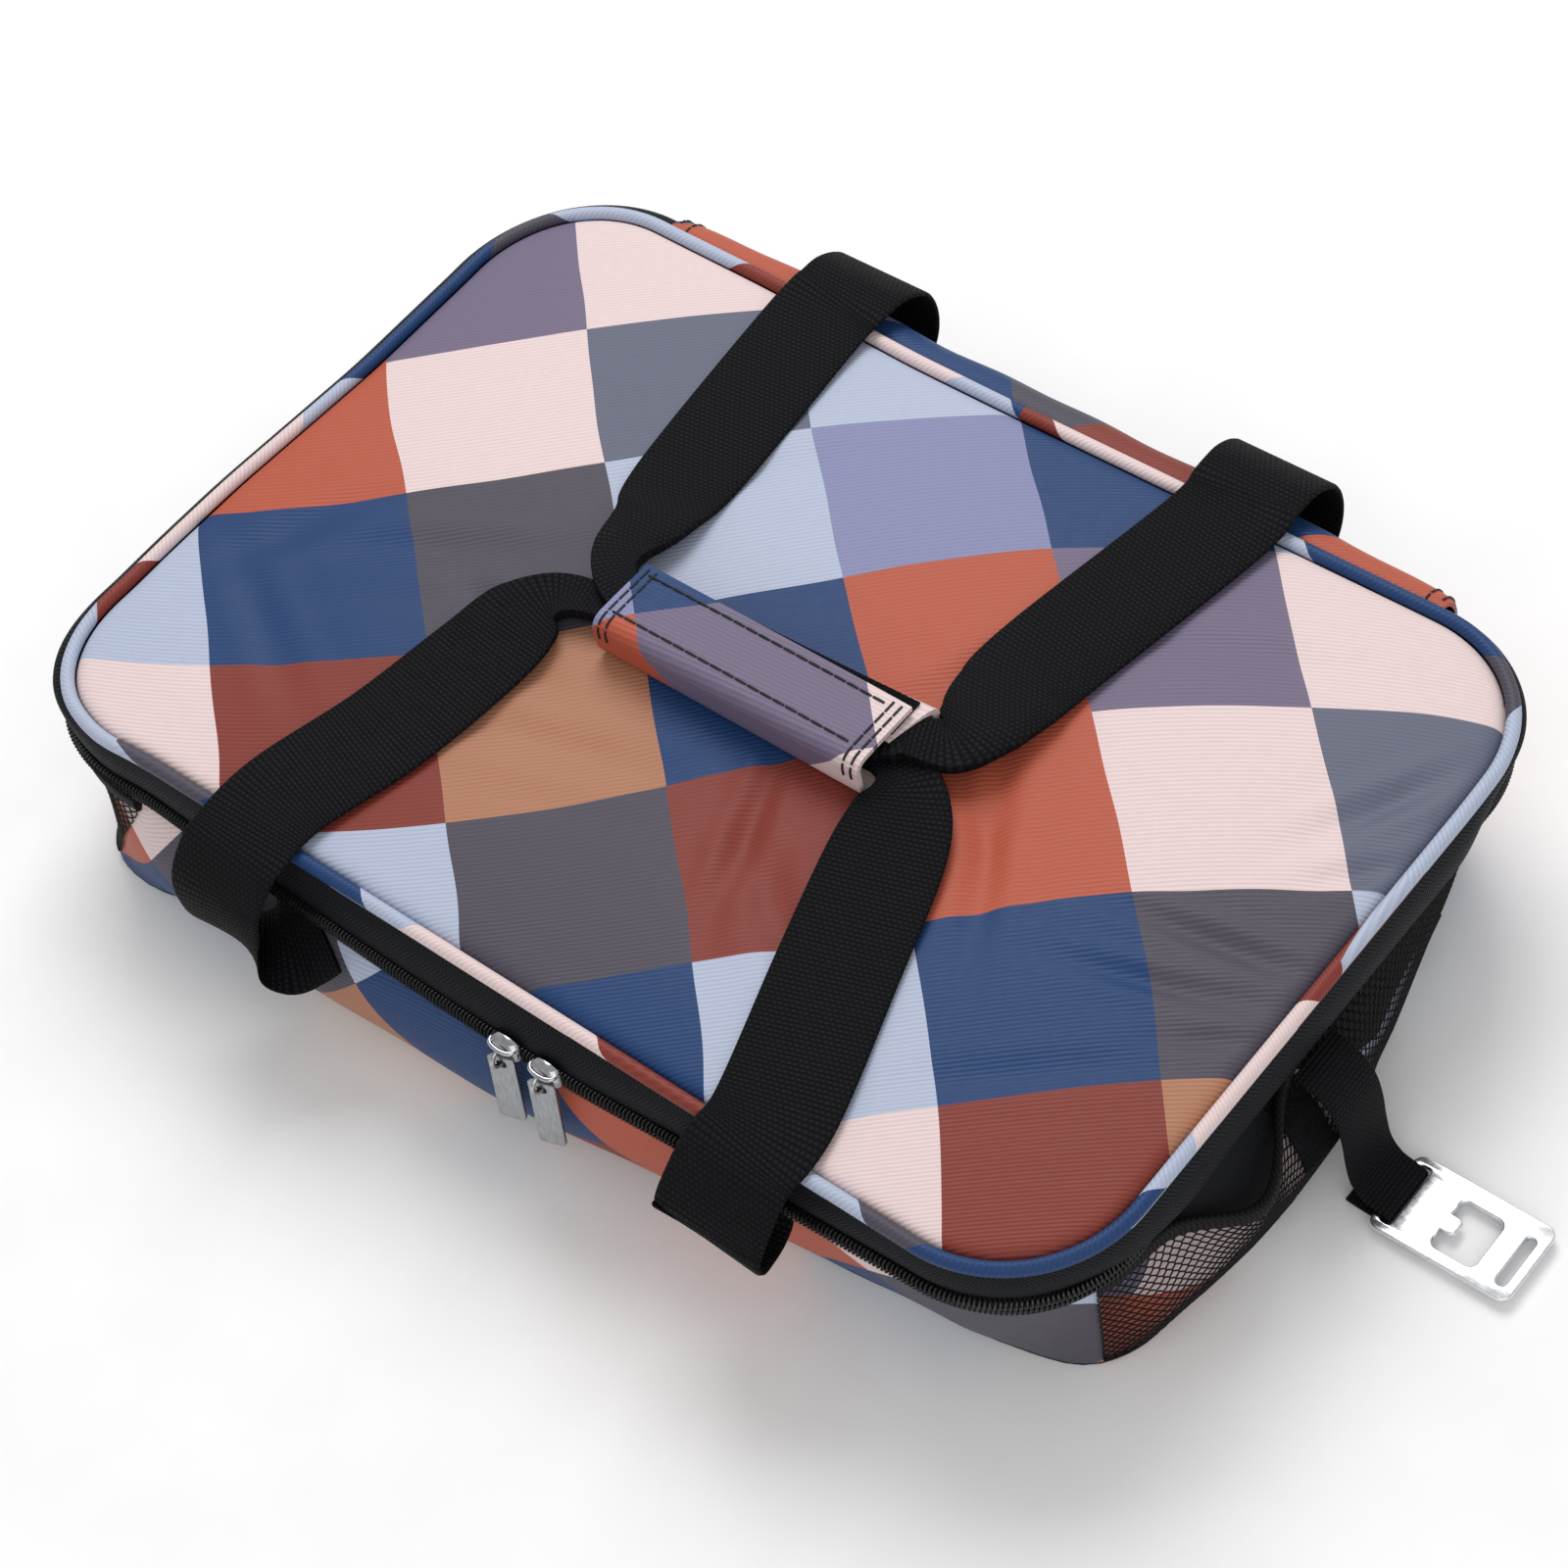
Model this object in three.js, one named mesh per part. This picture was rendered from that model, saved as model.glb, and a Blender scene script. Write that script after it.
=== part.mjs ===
// A soft collapsible cooler, folded down: a padded zip lid, walls that fold into nested rings,
// two webbing handles gathered in a wrapped grip, a net pocket on each end and a bottle opener
// on a strap.
// Millimetres. +Z is up, +X points to the end with the bottle opener, -Y is the front.
// The origin is the middle of the underside.
import * as THREE from 'three';

// Driving dimensions of the whole
const lidLength = 406;
const lidWidth = 260;
const lidHeight = 76; // top of the piping over the floor, folded down
const cornerRadius = 45;
const cornerSteps = 6;
const gap = 0.3; // clearance between pieces that lie against each other

// Base
const baseFabric = 1.6;
const boardThickness = 2.5;
const baseFoamThickness = 8;
const liningThickness = 0.8;

// Wall: a skirt on the rim and three padded rings nested inside it
const wallThickness = 3.5;
const foldClearance = 0.5;
const wallHeight = 48;
const hemLift = 2.2; // height of the lowest fold over the floor
const rimFoamThickness = 3;
const panelFabric = 1.4;
const panelHemOffset = 2; // the printed panels stand this far outside the outline at their hem
const panelSeamOffset = 5.3; // and this far at the zip seam
const frontBulge = 4;
const endBulge = 0.6;
const panelSteps = 5;

// Zip
const partingHeight = 57.2; // level where lid and rim part
const partingGap = 0.6;
const coilHeight = 2.2;
const coilDepth = 3.4;
const coilOffset = 4.6; // inner side of the coil, outside the outline
const tapeThickness = 1.2;
const lowerTapeHeight = 3.5;
const hingeHalfLength = 155; // half the length of the fabric hinge at the back
const hingeBulge = 3.2;
const hingeSteps = 5;

// Lid
const pipingRadius = 2.3;
const pipingInset = 1.5;
const crownHeight = 3;
const crownRings = 4;
const coverThickness = 5;
const lidFoamThickness = 7.7;

// Zip sliders and pull tabs
const leftSliderX = 6;
const rightSliderX = 27;
const sliderLength = 12;
const sliderHeight = 11;
const sliderThickness = 1.8;
const sliderCorner = 4;
const sliderClearance = 0.4;
const bailRadius = 3.2;
const bailWire = 0.7;
const bailStandOff = 1;
const tabWidth = 7;
const tabLength = 30;
const tabThickness = 1.2;
const tabEyeClearance = 0.6;
const tabRim = 1.2;

// Handles
const webbingWidth = 38;
const webbingThickness = 1.6;
const gatheredWidth = 20; // the webbing is folded up inside the grip
const gatheredThickness = 3.6;
const frontStrapX = 99;
const backStrapX = 83;
const strapBulge = 24; // how far the straps swing out past the lid's edge
const strapPivotHeight = 60;
const frontRightSag = 5; // how far each strap hangs below its seam before it turns up
const frontLeftSag = 20;
const backSag = 8;
const neckReach = 26; // where the webbing starts to gather, from the grip's middle
const neckLead = 14;

// Grip
const gripX = 5;
const gripY = -8;
const gripLength = 107;
const gripWidth = 32;
const gripWall = 1.6;
const gripLip = 13; // width of the lip that the flap closes on
const fastenerThickness = 0.6;
const fastenerInset = 1.5;

// Net pockets
const pocketLength = 156;
const pocketSeamLift = 5; // height of the sewn lower edge over the floor
const pocketHeight = 36;
const pocketBulge = 11;
const netThickness = 1.2;
const netColumns = 18;
const netRows = 5;
const strandWidth = 1.6;
const bindingHeight = 6;
const bindingThickness = 2.4;
const pocketSteps = 12;

// Bottle opener and its strap
const openerLength = 50;
const openerWidth = 28;
const openerThickness = 2;
const openerCorner = 3.5;
const openerLift = 2.3; // the strap's loop holds the plate just off the floor
const openerReach = 25.5; // from the lid's end to the opener's near edge
const openerY = -9;
const openerBar = 2.5; // bar that the strap loops round
const strapSlot = 4;
const openerStrapWidth = 20;
const openerStrapThickness = 1.2;
const strapSlotClearance = 1;
const capOpening = 17;
const capOpeningLength = 13;
const capLip = 6;
const capLipDepth = 4.5;
const capOpeningStart = 18;
const farSlotLength = 18;
const farSlotWidth = 3.4;
const farSlotEnd = 5.5; // from the far edge to the middle of the far slot

// Colours
const printBlue = 0x24466f;
const printPink = 0xebd6d4;
const printRust = 0xc66a50;
const printSlate = 0x5e5a66;
const black = 0x17171a;
const foamWhite = 0xe9e6df;
const liningGrey = 0xc3c8cc;
const boardGrey = 0x6a6d70;
const steel = 0xc9cbcd;

const cooler = new THREE.Group();

// One place for each piece's name, shape and finish.
function addPiece(name, geometry, color, roughness = 0.85, metalness = 0) {
  const material = new THREE.MeshStandardMaterial({ color, roughness, metalness });
  const mesh = new THREE.Mesh(geometry, material);
  mesh.name = name;
  cooler.add(mesh);
  return mesh;
}

function meshFrom(positions, triangles) {
  const geometry = new THREE.BufferGeometry();
  geometry.setAttribute('position', new THREE.Float32BufferAttribute(positions, 3));
  geometry.setIndex(triangles);
  geometry.computeVertexNormals();
  return geometry;
}

// The lid's outline as a walk of known length. It starts at the middle of the back and goes by
// the left end, the front and the right end.
const halfLength = lidLength / 2;
const halfWidth = lidWidth / 2;
const openerNearX = halfLength + openerReach;
const straightX = halfLength - cornerRadius;
const straightY = halfWidth - cornerRadius;
const arcLength = (Math.PI / 2) * cornerRadius;
const backLeftCorner = straightX;
const leftEnd = backLeftCorner + arcLength;
const frontLeftCorner = leftEnd + 2 * straightY;
const front = frontLeftCorner + arcLength;
const frontRightCorner = front + 2 * straightX;
const rightEnd = frontRightCorner + arcLength;
const backRightCorner = rightEnd + 2 * straightY;
const backAgain = backRightCorner + arcLength;
const perimeter = backAgain + straightX;

function arcPoint(centreX, centreY, angle) {
  const nx = Math.cos(angle);
  const ny = Math.sin(angle);
  return { x: centreX + cornerRadius * nx, y: centreY + cornerRadius * ny, nx, ny };
}

// Point of the outline and its outward direction, a distance along the walk.
function outlineAt(distance) {
  const d = ((distance % perimeter) + perimeter) % perimeter;
  const turn = (from) => (d - from) / cornerRadius;
  if (d < backLeftCorner) return { x: -d, y: halfWidth, nx: 0, ny: 1 };
  if (d < leftEnd) return arcPoint(-straightX, straightY, Math.PI / 2 + turn(backLeftCorner));
  if (d < frontLeftCorner) return { x: -halfLength, y: straightY - (d - leftEnd), nx: -1, ny: 0 };
  if (d < front) return arcPoint(-straightX, -straightY, Math.PI + turn(frontLeftCorner));
  if (d < frontRightCorner) return { x: -straightX + (d - front), y: -halfWidth, nx: 0, ny: -1 };
  if (d < rightEnd) return arcPoint(straightX, -straightY, 1.5 * Math.PI + turn(frontRightCorner));
  if (d < backRightCorner) return { x: halfLength, y: -straightY + (d - rightEnd), nx: 1, ny: 0 };
  if (d < backAgain) return arcPoint(straightX, straightY, turn(backRightCorner));
  return { x: straightX - (d - backAgain), y: halfWidth, nx: 0, ny: 1 };
}

// Stations from one distance to another, with every corner stepped finely enough.
function stationsBetween(from, to, extraSteps = 0) {
  const distances = [from];
  for (const corner of [backLeftCorner, frontLeftCorner, frontRightCorner, backRightCorner]) {
    for (const start of [corner, corner + perimeter]) {
      for (let step = 0; step <= cornerSteps; step += 1) {
        distances.push(start + (arcLength * step) / cornerSteps);
      }
    }
  }
  for (let step = 1; step < extraSteps; step += 1) {
    distances.push(from + ((to - from) * step) / extraSteps);
  }
  distances.push(to);
  const inside = distances.filter((d) => d >= from && d <= to).sort((a, b) => a - b);
  const spaced = inside.filter((d, index) => index === 0 || d - inside[index - 1] > gap);
  return spaced.map((d) => ({ ...outlineAt(d), share: (d - from) / (to - from) }));
}

// Carries a profile round the outline. Profile points are [outward offset, height], in
// anticlockwise order, and may depend on the station.
function sweep(profileAt, stations, closed = false) {
  const positions = [];
  const triangles = [];
  const profiles = stations.map((station) => profileAt(station));
  const count = profiles[0].length;
  stations.forEach((station, row) => {
    for (const [offset, height] of profiles[row]) {
      positions.push(station.x + offset * station.nx, station.y + offset * station.ny, height);
    }
  });
  const rows = stations.length;
  const lastRow = closed ? rows : rows - 1;
  for (let row = 0; row < lastRow; row += 1) {
    for (let side = 0; side < count; side += 1) {
      const next = (side + 1) % count;
      const a = row * count + side;
      const b = ((row + 1) % rows) * count + side;
      const c = ((row + 1) % rows) * count + next;
      const d = row * count + next;
      triangles.push(a, b, c, a, c, d);
    }
  }
  if (!closed) {
    const cap = (row) => profiles[row].map(([offset, height]) => new THREE.Vector2(offset, height));
    for (const [a, b, c] of THREE.ShapeUtils.triangulateShape(cap(0), [])) {
      triangles.push(a, b, c);
    }
    const base = (rows - 1) * count;
    for (const [a, b, c] of THREE.ShapeUtils.triangulateShape(cap(rows - 1), [])) {
      triangles.push(base + a, base + c, base + b);
    }
  }
  return meshFrom(positions, triangles);
}

function ring(profileAt) {
  const stations = stationsBetween(backLeftCorner, backAgain);
  return sweep(profileAt, stations, true);
}

function boxProfile(inner, outer, bottom, top) {
  return [[inner, bottom], [outer, bottom], [outer, top], [inner, top]];
}

// A flat sheet with the lid's outline, drawn in by an offset.
function sheet(offset, bottom, thickness) {
  const shape = roundedRectangle(lidLength + 2 * offset, lidWidth + 2 * offset, cornerRadius + offset);
  const geometry = new THREE.ExtrudeGeometry(shape, {
    depth: thickness,
    bevelEnabled: false,
    curveSegments: cornerSteps,
  });
  return geometry.translate(0, 0, bottom);
}

function roundedRectangle(length, width, radius) {
  const x = length / 2 - radius;
  const y = width / 2 - radius;
  const shape = new THREE.Shape();
  shape.absarc(x, y, radius, 0, Math.PI / 2);
  shape.absarc(-x, y, radius, Math.PI / 2, Math.PI);
  shape.absarc(-x, -y, radius, Math.PI, 1.5 * Math.PI);
  shape.absarc(x, -y, radius, 1.5 * Math.PI, 2 * Math.PI);
  return shape;
}

// A ribbon through stations of position, width, thickness and heading. The heading turns the
// ribbon's width in plan: none lies along X, a quarter turn lies along Y.
function ribbon(controls, steps) {
  const curve = new THREE.CatmullRomCurve3(controls.map((c) => new THREE.Vector3(c.x, c.y, c.z)));
  const positions = [];
  const triangles = [];
  for (let step = 0; step <= steps; step += 1) {
    const t = step / steps;
    const along = t * (controls.length - 1);
    const index = Math.min(Math.floor(along), controls.length - 2);
    const share = along - index;
    const mix = (key) => THREE.MathUtils.lerp(controls[index][key], controls[index + 1][key], share);
    const across = new THREE.Vector3(Math.cos(mix('heading')), Math.sin(mix('heading')), 0);
    const normal = new THREE.Vector3().crossVectors(across, curve.getTangent(t)).normalize();
    const centre = curve.getPoint(t);
    const half = mix('width') / 2;
    for (const [u, v] of [[-1, -1], [1, -1], [1, 1], [-1, 1]]) {
      const corner = centre.clone().addScaledVector(across, u * half);
      corner.addScaledVector(normal, (v * mix('thickness')) / 2);
      positions.push(corner.x, corner.y, corner.z);
    }
  }
  const sides = 4;
  for (let step = 0; step < steps; step += 1) {
    for (let side = 0; side < sides; side += 1) {
      const next = (side + 1) % sides;
      const a = step * sides + side;
      const d = step * sides + next;
      triangles.push(a, a + sides, d + sides, a, d + sides, d);
    }
  }
  const last = steps * sides;
  triangles.push(0, 1, 2, 0, 2, 3);
  triangles.push(last, last + 2, last + 1, last, last + 3, last + 2);
  return meshFrom(positions, triangles);
}

// Offsets of the nested wall rings, from the skirt inwards
const rimFoamInner = -rimFoamThickness;
const rimLiningOuter = rimFoamInner - gap;
const rimLiningInner = rimLiningOuter - liningThickness;
const upperFoldOuter = rimLiningInner - foldClearance;
const upperFoldInner = upperFoldOuter - wallThickness;
const lowerFoldOuter = upperFoldInner - foldClearance;
const lowerFoldInner = lowerFoldOuter - wallThickness;
const baseWallOuter = lowerFoldInner - foldClearance;
const baseWallInner = baseWallOuter - wallThickness;
const baseInsideOffset = baseWallInner - gap;

// Levels, from the floor up
const boardBottom = baseFabric + gap;
const baseFoamBottom = boardBottom + boardThickness + gap;
const baseLiningBottom = baseFoamBottom + baseFoamThickness + gap;
const wallTop = hemLift + wallHeight;
const lowerCoilTop = partingHeight - partingGap / 2;
const lowerCoilBottom = lowerCoilTop - coilHeight;
const lowerTapeTop = lowerCoilBottom - gap;
const panelTop = lowerTapeTop - lowerTapeHeight - gap;
const upperCoilBottom = partingHeight + partingGap / 2;
const upperTapeBottom = upperCoilBottom + coilHeight + gap;
const pipingHeight = lidHeight - pipingRadius;
const upperTapeTop = lidHeight - 2 * pipingRadius - gap;
const coverTop = lidHeight - 1;
const coverBottom = coverTop - coverThickness;
const lidFoamTop = coverBottom - gap;
const lidFoamBottom = lidFoamTop - lidFoamThickness;
const lidLiningBottom = lidFoamBottom - gap - liningThickness;

// Base
function buildBase() {
  addPiece('base_panel', sheet(baseWallOuter, 0, baseFabric), black);
  addPiece('base_board', sheet(baseInsideOffset, boardBottom, boardThickness), boardGrey, 0.6);
  addPiece('base_foam', sheet(baseInsideOffset, baseFoamBottom, baseFoamThickness), foamWhite);
  addPiece('base_lining', sheet(baseInsideOffset, baseLiningBottom, liningThickness), liningGrey, 0.4);
  const wall = boxProfile(baseWallInner, baseWallOuter, boardBottom, wallTop);
  addPiece('base_wall', ring(() => wall), printSlate);
}

function buildFolds() {
  const lower = boxProfile(lowerFoldInner, lowerFoldOuter, hemLift, wallTop);
  const upper = boxProfile(upperFoldInner, upperFoldOuter, hemLift, wallTop);
  addPiece('lower_fold_wall', ring(() => lower), printBlue);
  addPiece('upper_fold_wall', ring(() => upper), printRust);
}

// Outer face of the printed panels: they lean out from hem to zip seam and swell between.
function panelOffset(station, share) {
  const swell = THREE.MathUtils.lerp(endBulge, frontBulge, station.ny * station.ny);
  const lean = THREE.MathUtils.lerp(panelHemOffset, panelSeamOffset, share);
  return lean + swell * Math.sin(Math.PI * share);
}

function panelEdge(station, inset) {
  const edge = [];
  for (let step = 0; step <= panelSteps; step += 1) {
    const share = step / panelSteps;
    edge.push([panelOffset(station, share) - inset, hemLift + (panelTop - hemLift) * share]);
  }
  return edge;
}

function panelProfile(station) {
  return [...panelEdge(station, 0), ...panelEdge(station, panelFabric).reverse()];
}

function foamProfile(station) {
  const outer = panelEdge(station, panelFabric + gap);
  return [[rimFoamInner, hemLift], ...outer, [rimFoamInner, panelTop]];
}

function buildRim() {
  const seam = gap / 2;
  const panel = (from, to) => sweep(panelProfile, stationsBetween(from + seam, to - seam));
  addPiece('front_panel', panel(frontLeftCorner, rightEnd), printBlue);
  addPiece('back_panel', panel(backRightCorner, perimeter + leftEnd), printRust);
  addPiece('left_end_panel', panel(leftEnd, frontLeftCorner), printPink);
  addPiece('right_end_panel', panel(rightEnd, backRightCorner), printPink);
  addPiece('rim_foam', ring(foamProfile), foamWhite);
  const lining = boxProfile(rimLiningInner, rimLiningOuter, hemLift, panelTop);
  addPiece('rim_lining', ring(() => lining), liningGrey, 0.4);
}

// The zip runs from one end of the fabric hinge round to the other.
function zipStations() {
  return stationsBetween(hingeHalfLength + gap, perimeter - hingeHalfLength - gap);
}

function buildZip() {
  const stations = zipStations();
  const coilOuter = coilOffset + coilDepth;
  const tapeOuter = coilOffset + tapeThickness;
  const lowerTape = boxProfile(coilOffset, tapeOuter, panelTop + gap, lowerTapeTop);
  const lowerCoil = boxProfile(coilOffset, coilOuter, lowerCoilBottom, lowerCoilTop);
  const upperCoil = boxProfile(coilOffset, coilOuter, upperCoilBottom, upperCoilBottom + coilHeight);
  const upperTape = [
    [coilOffset, upperTapeBottom],
    [tapeOuter, upperTapeBottom],
    [tapeThickness - pipingInset, upperTapeTop],
    [-pipingInset, upperTapeTop],
  ];
  addPiece('lower_zip_tape', sweep(() => lowerTape, stations), black);
  addPiece('lower_zip_coil', sweep(() => lowerCoil, stations), black, 0.5);
  addPiece('upper_zip_tape', sweep(() => upperTape, stations), black);
  addPiece('upper_zip_coil', sweep(() => upperCoil, stations), black, 0.5);
}

// Strip of printed fabric, swollen outwards, that joins the lid to the back panel.
function buildHinge() {
  const edge = (inset) => {
    const points = [];
    for (let step = 0; step <= hingeSteps; step += 1) {
      const share = step / hingeSteps;
      const lean = THREE.MathUtils.lerp(panelSeamOffset, tapeThickness - pipingInset, share);
      const height = THREE.MathUtils.lerp(panelTop + gap, upperTapeTop, share);
      points.push([lean + hingeBulge * Math.sin(Math.PI * share) - inset, height]);
    }
    return points;
  };
  const profile = [...edge(0), ...edge(tapeThickness).reverse()];
  const stations = stationsBetween(perimeter - hingeHalfLength, perimeter + hingeHalfLength);
  addPiece('hinge_strip', sweep(() => profile, stations), printRust);
}

// The lid's cover: flat underneath, with rings that climb to a crown.
function crownedCover(offset) {
  const stations = stationsBetween(backLeftCorner, backAgain);
  const count = stations.length;
  const positions = [];
  const triangles = [];
  const pushRing = (scale, height) => {
    for (const s of stations) {
      positions.push((s.x + offset * s.nx) * scale, (s.y + offset * s.ny) * scale, height);
    }
  };
  pushRing(1, coverBottom);
  for (let level = 0; level < crownRings; level += 1) {
    const scale = 1 - level / crownRings;
    pushRing(scale, coverTop + crownHeight * (1 - scale * scale));
  }
  const rings = crownRings + 1;
  const topCentre = rings * count;
  positions.push(0, 0, coverTop + crownHeight, 0, 0, coverBottom);
  for (let i = 0; i < count; i += 1) {
    const j = (i + 1) % count;
    for (let level = 0; level < rings - 1; level += 1) {
      const a = level * count;
      const b = a + count;
      triangles.push(a + i, a + j, b + j, a + i, b + j, b + i);
    }
    const top = (rings - 1) * count;
    triangles.push(top + i, top + j, topCentre, j, i, topCentre + 1);
  }
  return meshFrom(positions, triangles);
}

function buildLid() {
  const pipingSides = 8;
  const pipe = [];
  for (let side = 0; side < pipingSides; side += 1) {
    const angle = (2 * Math.PI * side) / pipingSides;
    const out = pipingRadius * Math.cos(angle) - pipingInset;
    pipe.push([out, pipingHeight + pipingRadius * Math.sin(angle)]);
  }
  const foamOffset = -pipingInset - gap;
  addPiece('lid_cover', crownedCover(-pipingInset - pipingRadius - gap), printPink);
  addPiece('lid_piping', ring(() => pipe), printBlue);
  addPiece('lid_foam', sheet(foamOffset, lidFoamBottom, lidFoamThickness), foamWhite);
  addPiece('lid_lining', sheet(foamOffset, lidLiningBottom, liningThickness), liningGrey, 0.4);
}

// Net pocket on one end. Its mouth is open at the top, its sides draw in to the panel.
function pocketStations(end) {
  const middle = end > 0 ? rightEnd + straightY : leftEnd + straightY;
  return [middle - pocketLength / 2, middle + pocketLength / 2];
}

function pocketSwell(share) {
  const drawIn = 4; // higher powers keep the pocket full almost to its sides
  return 1 - (2 * share - 1) ** drawIn;
}

// The end panel's face, just clear of which the pocket's edges are sewn.
function pocketSeat(height) {
  return panelOffset(outlineAt(rightEnd), (height - hemLift) / (panelTop - hemLift)) + gap;
}

function netOffset(share, rise) {
  const lift = 0.35; // how soon the net stands away from its lower seam
  const swell = pocketBulge * pocketSwell(share) * Math.sin((Math.PI / 2) * rise ** lift);
  return pocketSeat(pocketSeamLift + pocketHeight * rise) + swell;
}

function buildPocketNet(name, end) {
  const [from, to] = pocketStations(end);
  const positions = [];
  const triangles = [];
  const vertexAt = (column, row, depth) => {
    const share = column / netColumns;
    const rise = row / netRows;
    const station = outlineAt(from + (to - from) * share);
    const offset = netOffset(share, rise) + depth * netThickness;
    const height = pocketSeamLift + pocketHeight * rise;
    positions.push(station.x + offset * station.nx, station.y + offset * station.ny, height);
    return positions.length / 3 - 1;
  };
  const corners = [0, 1].map((depth) => {
    const grid = [];
    for (let column = 0; column <= netColumns; column += 1) {
      const line = [];
      for (let row = 0; row <= netRows; row += 1) {
        line.push(vertexAt(column, row, depth));
      }
      grid.push(line);
    }
    return grid;
  });
  const marginColumn = (strandWidth / 2) * (netColumns / pocketLength);
  const marginRow = (strandWidth / 2) * (netRows / pocketHeight);
  const face = (a, b, c, outer) => triangles.push(...(outer ? [a, b, c] : [a, c, b]));
  for (let column = 0; column < netColumns; column += 1) {
    for (let row = 0; row < netRows; row += 1) {
      const holes = [0, 1].map((depth) => [
        vertexAt(column + 0.5, row + marginRow, depth),
        vertexAt(column + 1 - marginColumn, row + 0.5, depth),
        vertexAt(column + 0.5, row + 1 - marginRow, depth),
        vertexAt(column + marginColumn, row + 0.5, depth),
      ]);
      [0, 1].forEach((depth) => {
        const grid = corners[depth];
        const square = [
          grid[column][row],
          grid[column + 1][row],
          grid[column + 1][row + 1],
          grid[column][row + 1],
        ];
        for (let side = 0; side < square.length; side += 1) {
          const next = (side + 1) % square.length;
          face(square[side], square[next], holes[depth][side], depth === 1);
          face(square[next], holes[depth][next], holes[depth][side], depth === 1);
        }
      });
      for (let side = 0; side < holes[0].length; side += 1) {
        const next = (side + 1) % holes[0].length;
        const [inner, outer] = holes;
        triangles.push(outer[side], outer[next], inner[next], outer[side], inner[next], inner[side]);
      }
    }
  }
  const rim = (a, b) => {
    const [inner, outer] = corners;
    const at = (grid, [column, row]) => grid[column][row];
    triangles.push(at(inner, a), at(inner, b), at(outer, b));
    triangles.push(at(inner, a), at(outer, b), at(outer, a));
  };
  for (let column = 0; column < netColumns; column += 1) {
    rim([column, 0], [column + 1, 0]);
    rim([column + 1, netRows], [column, netRows]);
  }
  for (let row = 0; row < netRows; row += 1) {
    rim([netColumns, row], [netColumns, row + 1]);
    rim([0, row + 1], [0, row]);
  }
  addPiece(name, meshFrom(positions, triangles), black);
}

function buildPocket(side, end) {
  buildPocketNet(`${side}_pocket_net`, end);
  const [from, to] = pocketStations(end);
  const bottom = pocketSeamLift + pocketHeight + gap;
  const profile = (station) => {
    const inner = pocketSeat(bottom + bindingHeight) + pocketBulge * pocketSwell(station.share);
    return boxProfile(inner, inner + bindingThickness, bottom, bottom + bindingHeight);
  };
  addPiece(`${side}_pocket_binding`, sweep(profile, stationsBetween(from, to, pocketSteps)), black);
}

// Zip slider: a front plate that rides on the coil and a half-ring bail. The pull tab's eye
// slides on the bail, so the tab swings about the bail's centre.
const sliderBack = -(halfWidth + coilOffset + coilDepth + sliderClearance);
const sliderFace = sliderBack - sliderThickness;
const bailY = sliderFace - bailStandOff;
const bailZ = partingHeight;

function buildSlider(side, x) {
  const plate = new THREE.ExtrudeGeometry(roundedRectangle(sliderLength, sliderHeight, sliderCorner), {
    depth: sliderThickness,
    bevelEnabled: false,
    curveSegments: 3,
  });
  plate.rotateX(Math.PI / 2).translate(x, sliderBack, partingHeight);
  addPiece(`${side}_slider_body`, plate, steel, 0.3, 1);

  const bailSteps = 10;
  const wireSides = 6;
  const path = new THREE.CurvePath();
  const foot = sliderFace - gap;
  const top = new THREE.Vector3(x, bailY, bailZ + bailRadius);
  const bottom = new THREE.Vector3(x, bailY, bailZ - bailRadius);
  const bend = [];
  for (let step = 0; step <= bailSteps; step += 1) {
    const angle = (Math.PI * step) / bailSteps;
    const y = bailY - bailRadius * Math.sin(angle);
    bend.push(new THREE.Vector3(x, y, bailZ + bailRadius * Math.cos(angle)));
  }
  path.add(new THREE.LineCurve3(new THREE.Vector3(x, foot, top.z), top));
  path.add(new THREE.CatmullRomCurve3(bend));
  path.add(new THREE.LineCurve3(bottom, new THREE.Vector3(x, foot, bottom.z)));
  const wire = new THREE.Shape().absarc(0, 0, bailWire, 0, 2 * Math.PI);
  const bail = new THREE.ExtrudeGeometry(wire, {
    steps: 2 * bailSteps,
    curveSegments: wireSides,
    extrudePath: path,
  });
  addPiece(`${side}_slider_bail`, bail, steel, 0.3, 1);

  const eye = bailWire + tabEyeClearance;
  const tabTop = -bailRadius + eye + tabRim;
  const shape = new THREE.Shape();
  const half = tabWidth / 2;
  shape.moveTo(half, tabTop);
  shape.lineTo(-half, tabTop);
  shape.lineTo(-half, half - tabLength);
  shape.absarc(0, half - tabLength, half, Math.PI, 2 * Math.PI);
  shape.closePath();
  shape.holes.push(new THREE.Path().absarc(0, -bailRadius, eye, 0, 2 * Math.PI, true));
  const tab = new THREE.ExtrudeGeometry(shape, {
    depth: tabThickness,
    bevelEnabled: false,
    curveSegments: 5,
  });
  tab.rotateX(Math.PI / 2).translate(x, bailY + tabThickness / 2, bailZ);
  addPiece(`${side}_pull_tab`, tab, steel, 0.35, 1);
}

// Levels and places of the grip and of the two straps gathered in it
const gripBottom = coverTop + crownHeight + 2 * gap;
const gripFloor = gripBottom + gripWall;
const lieHeight = lidHeight + crownHeight + webbingThickness;
const strapSpacing = gatheredThickness + 2 * gap;
const gripInside = 2 * strapSpacing + gap;
const frontStrapLevel = gripFloor + gap + gatheredThickness / 2;
const backStrapLevel = frontStrapLevel + strapSpacing;

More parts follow.
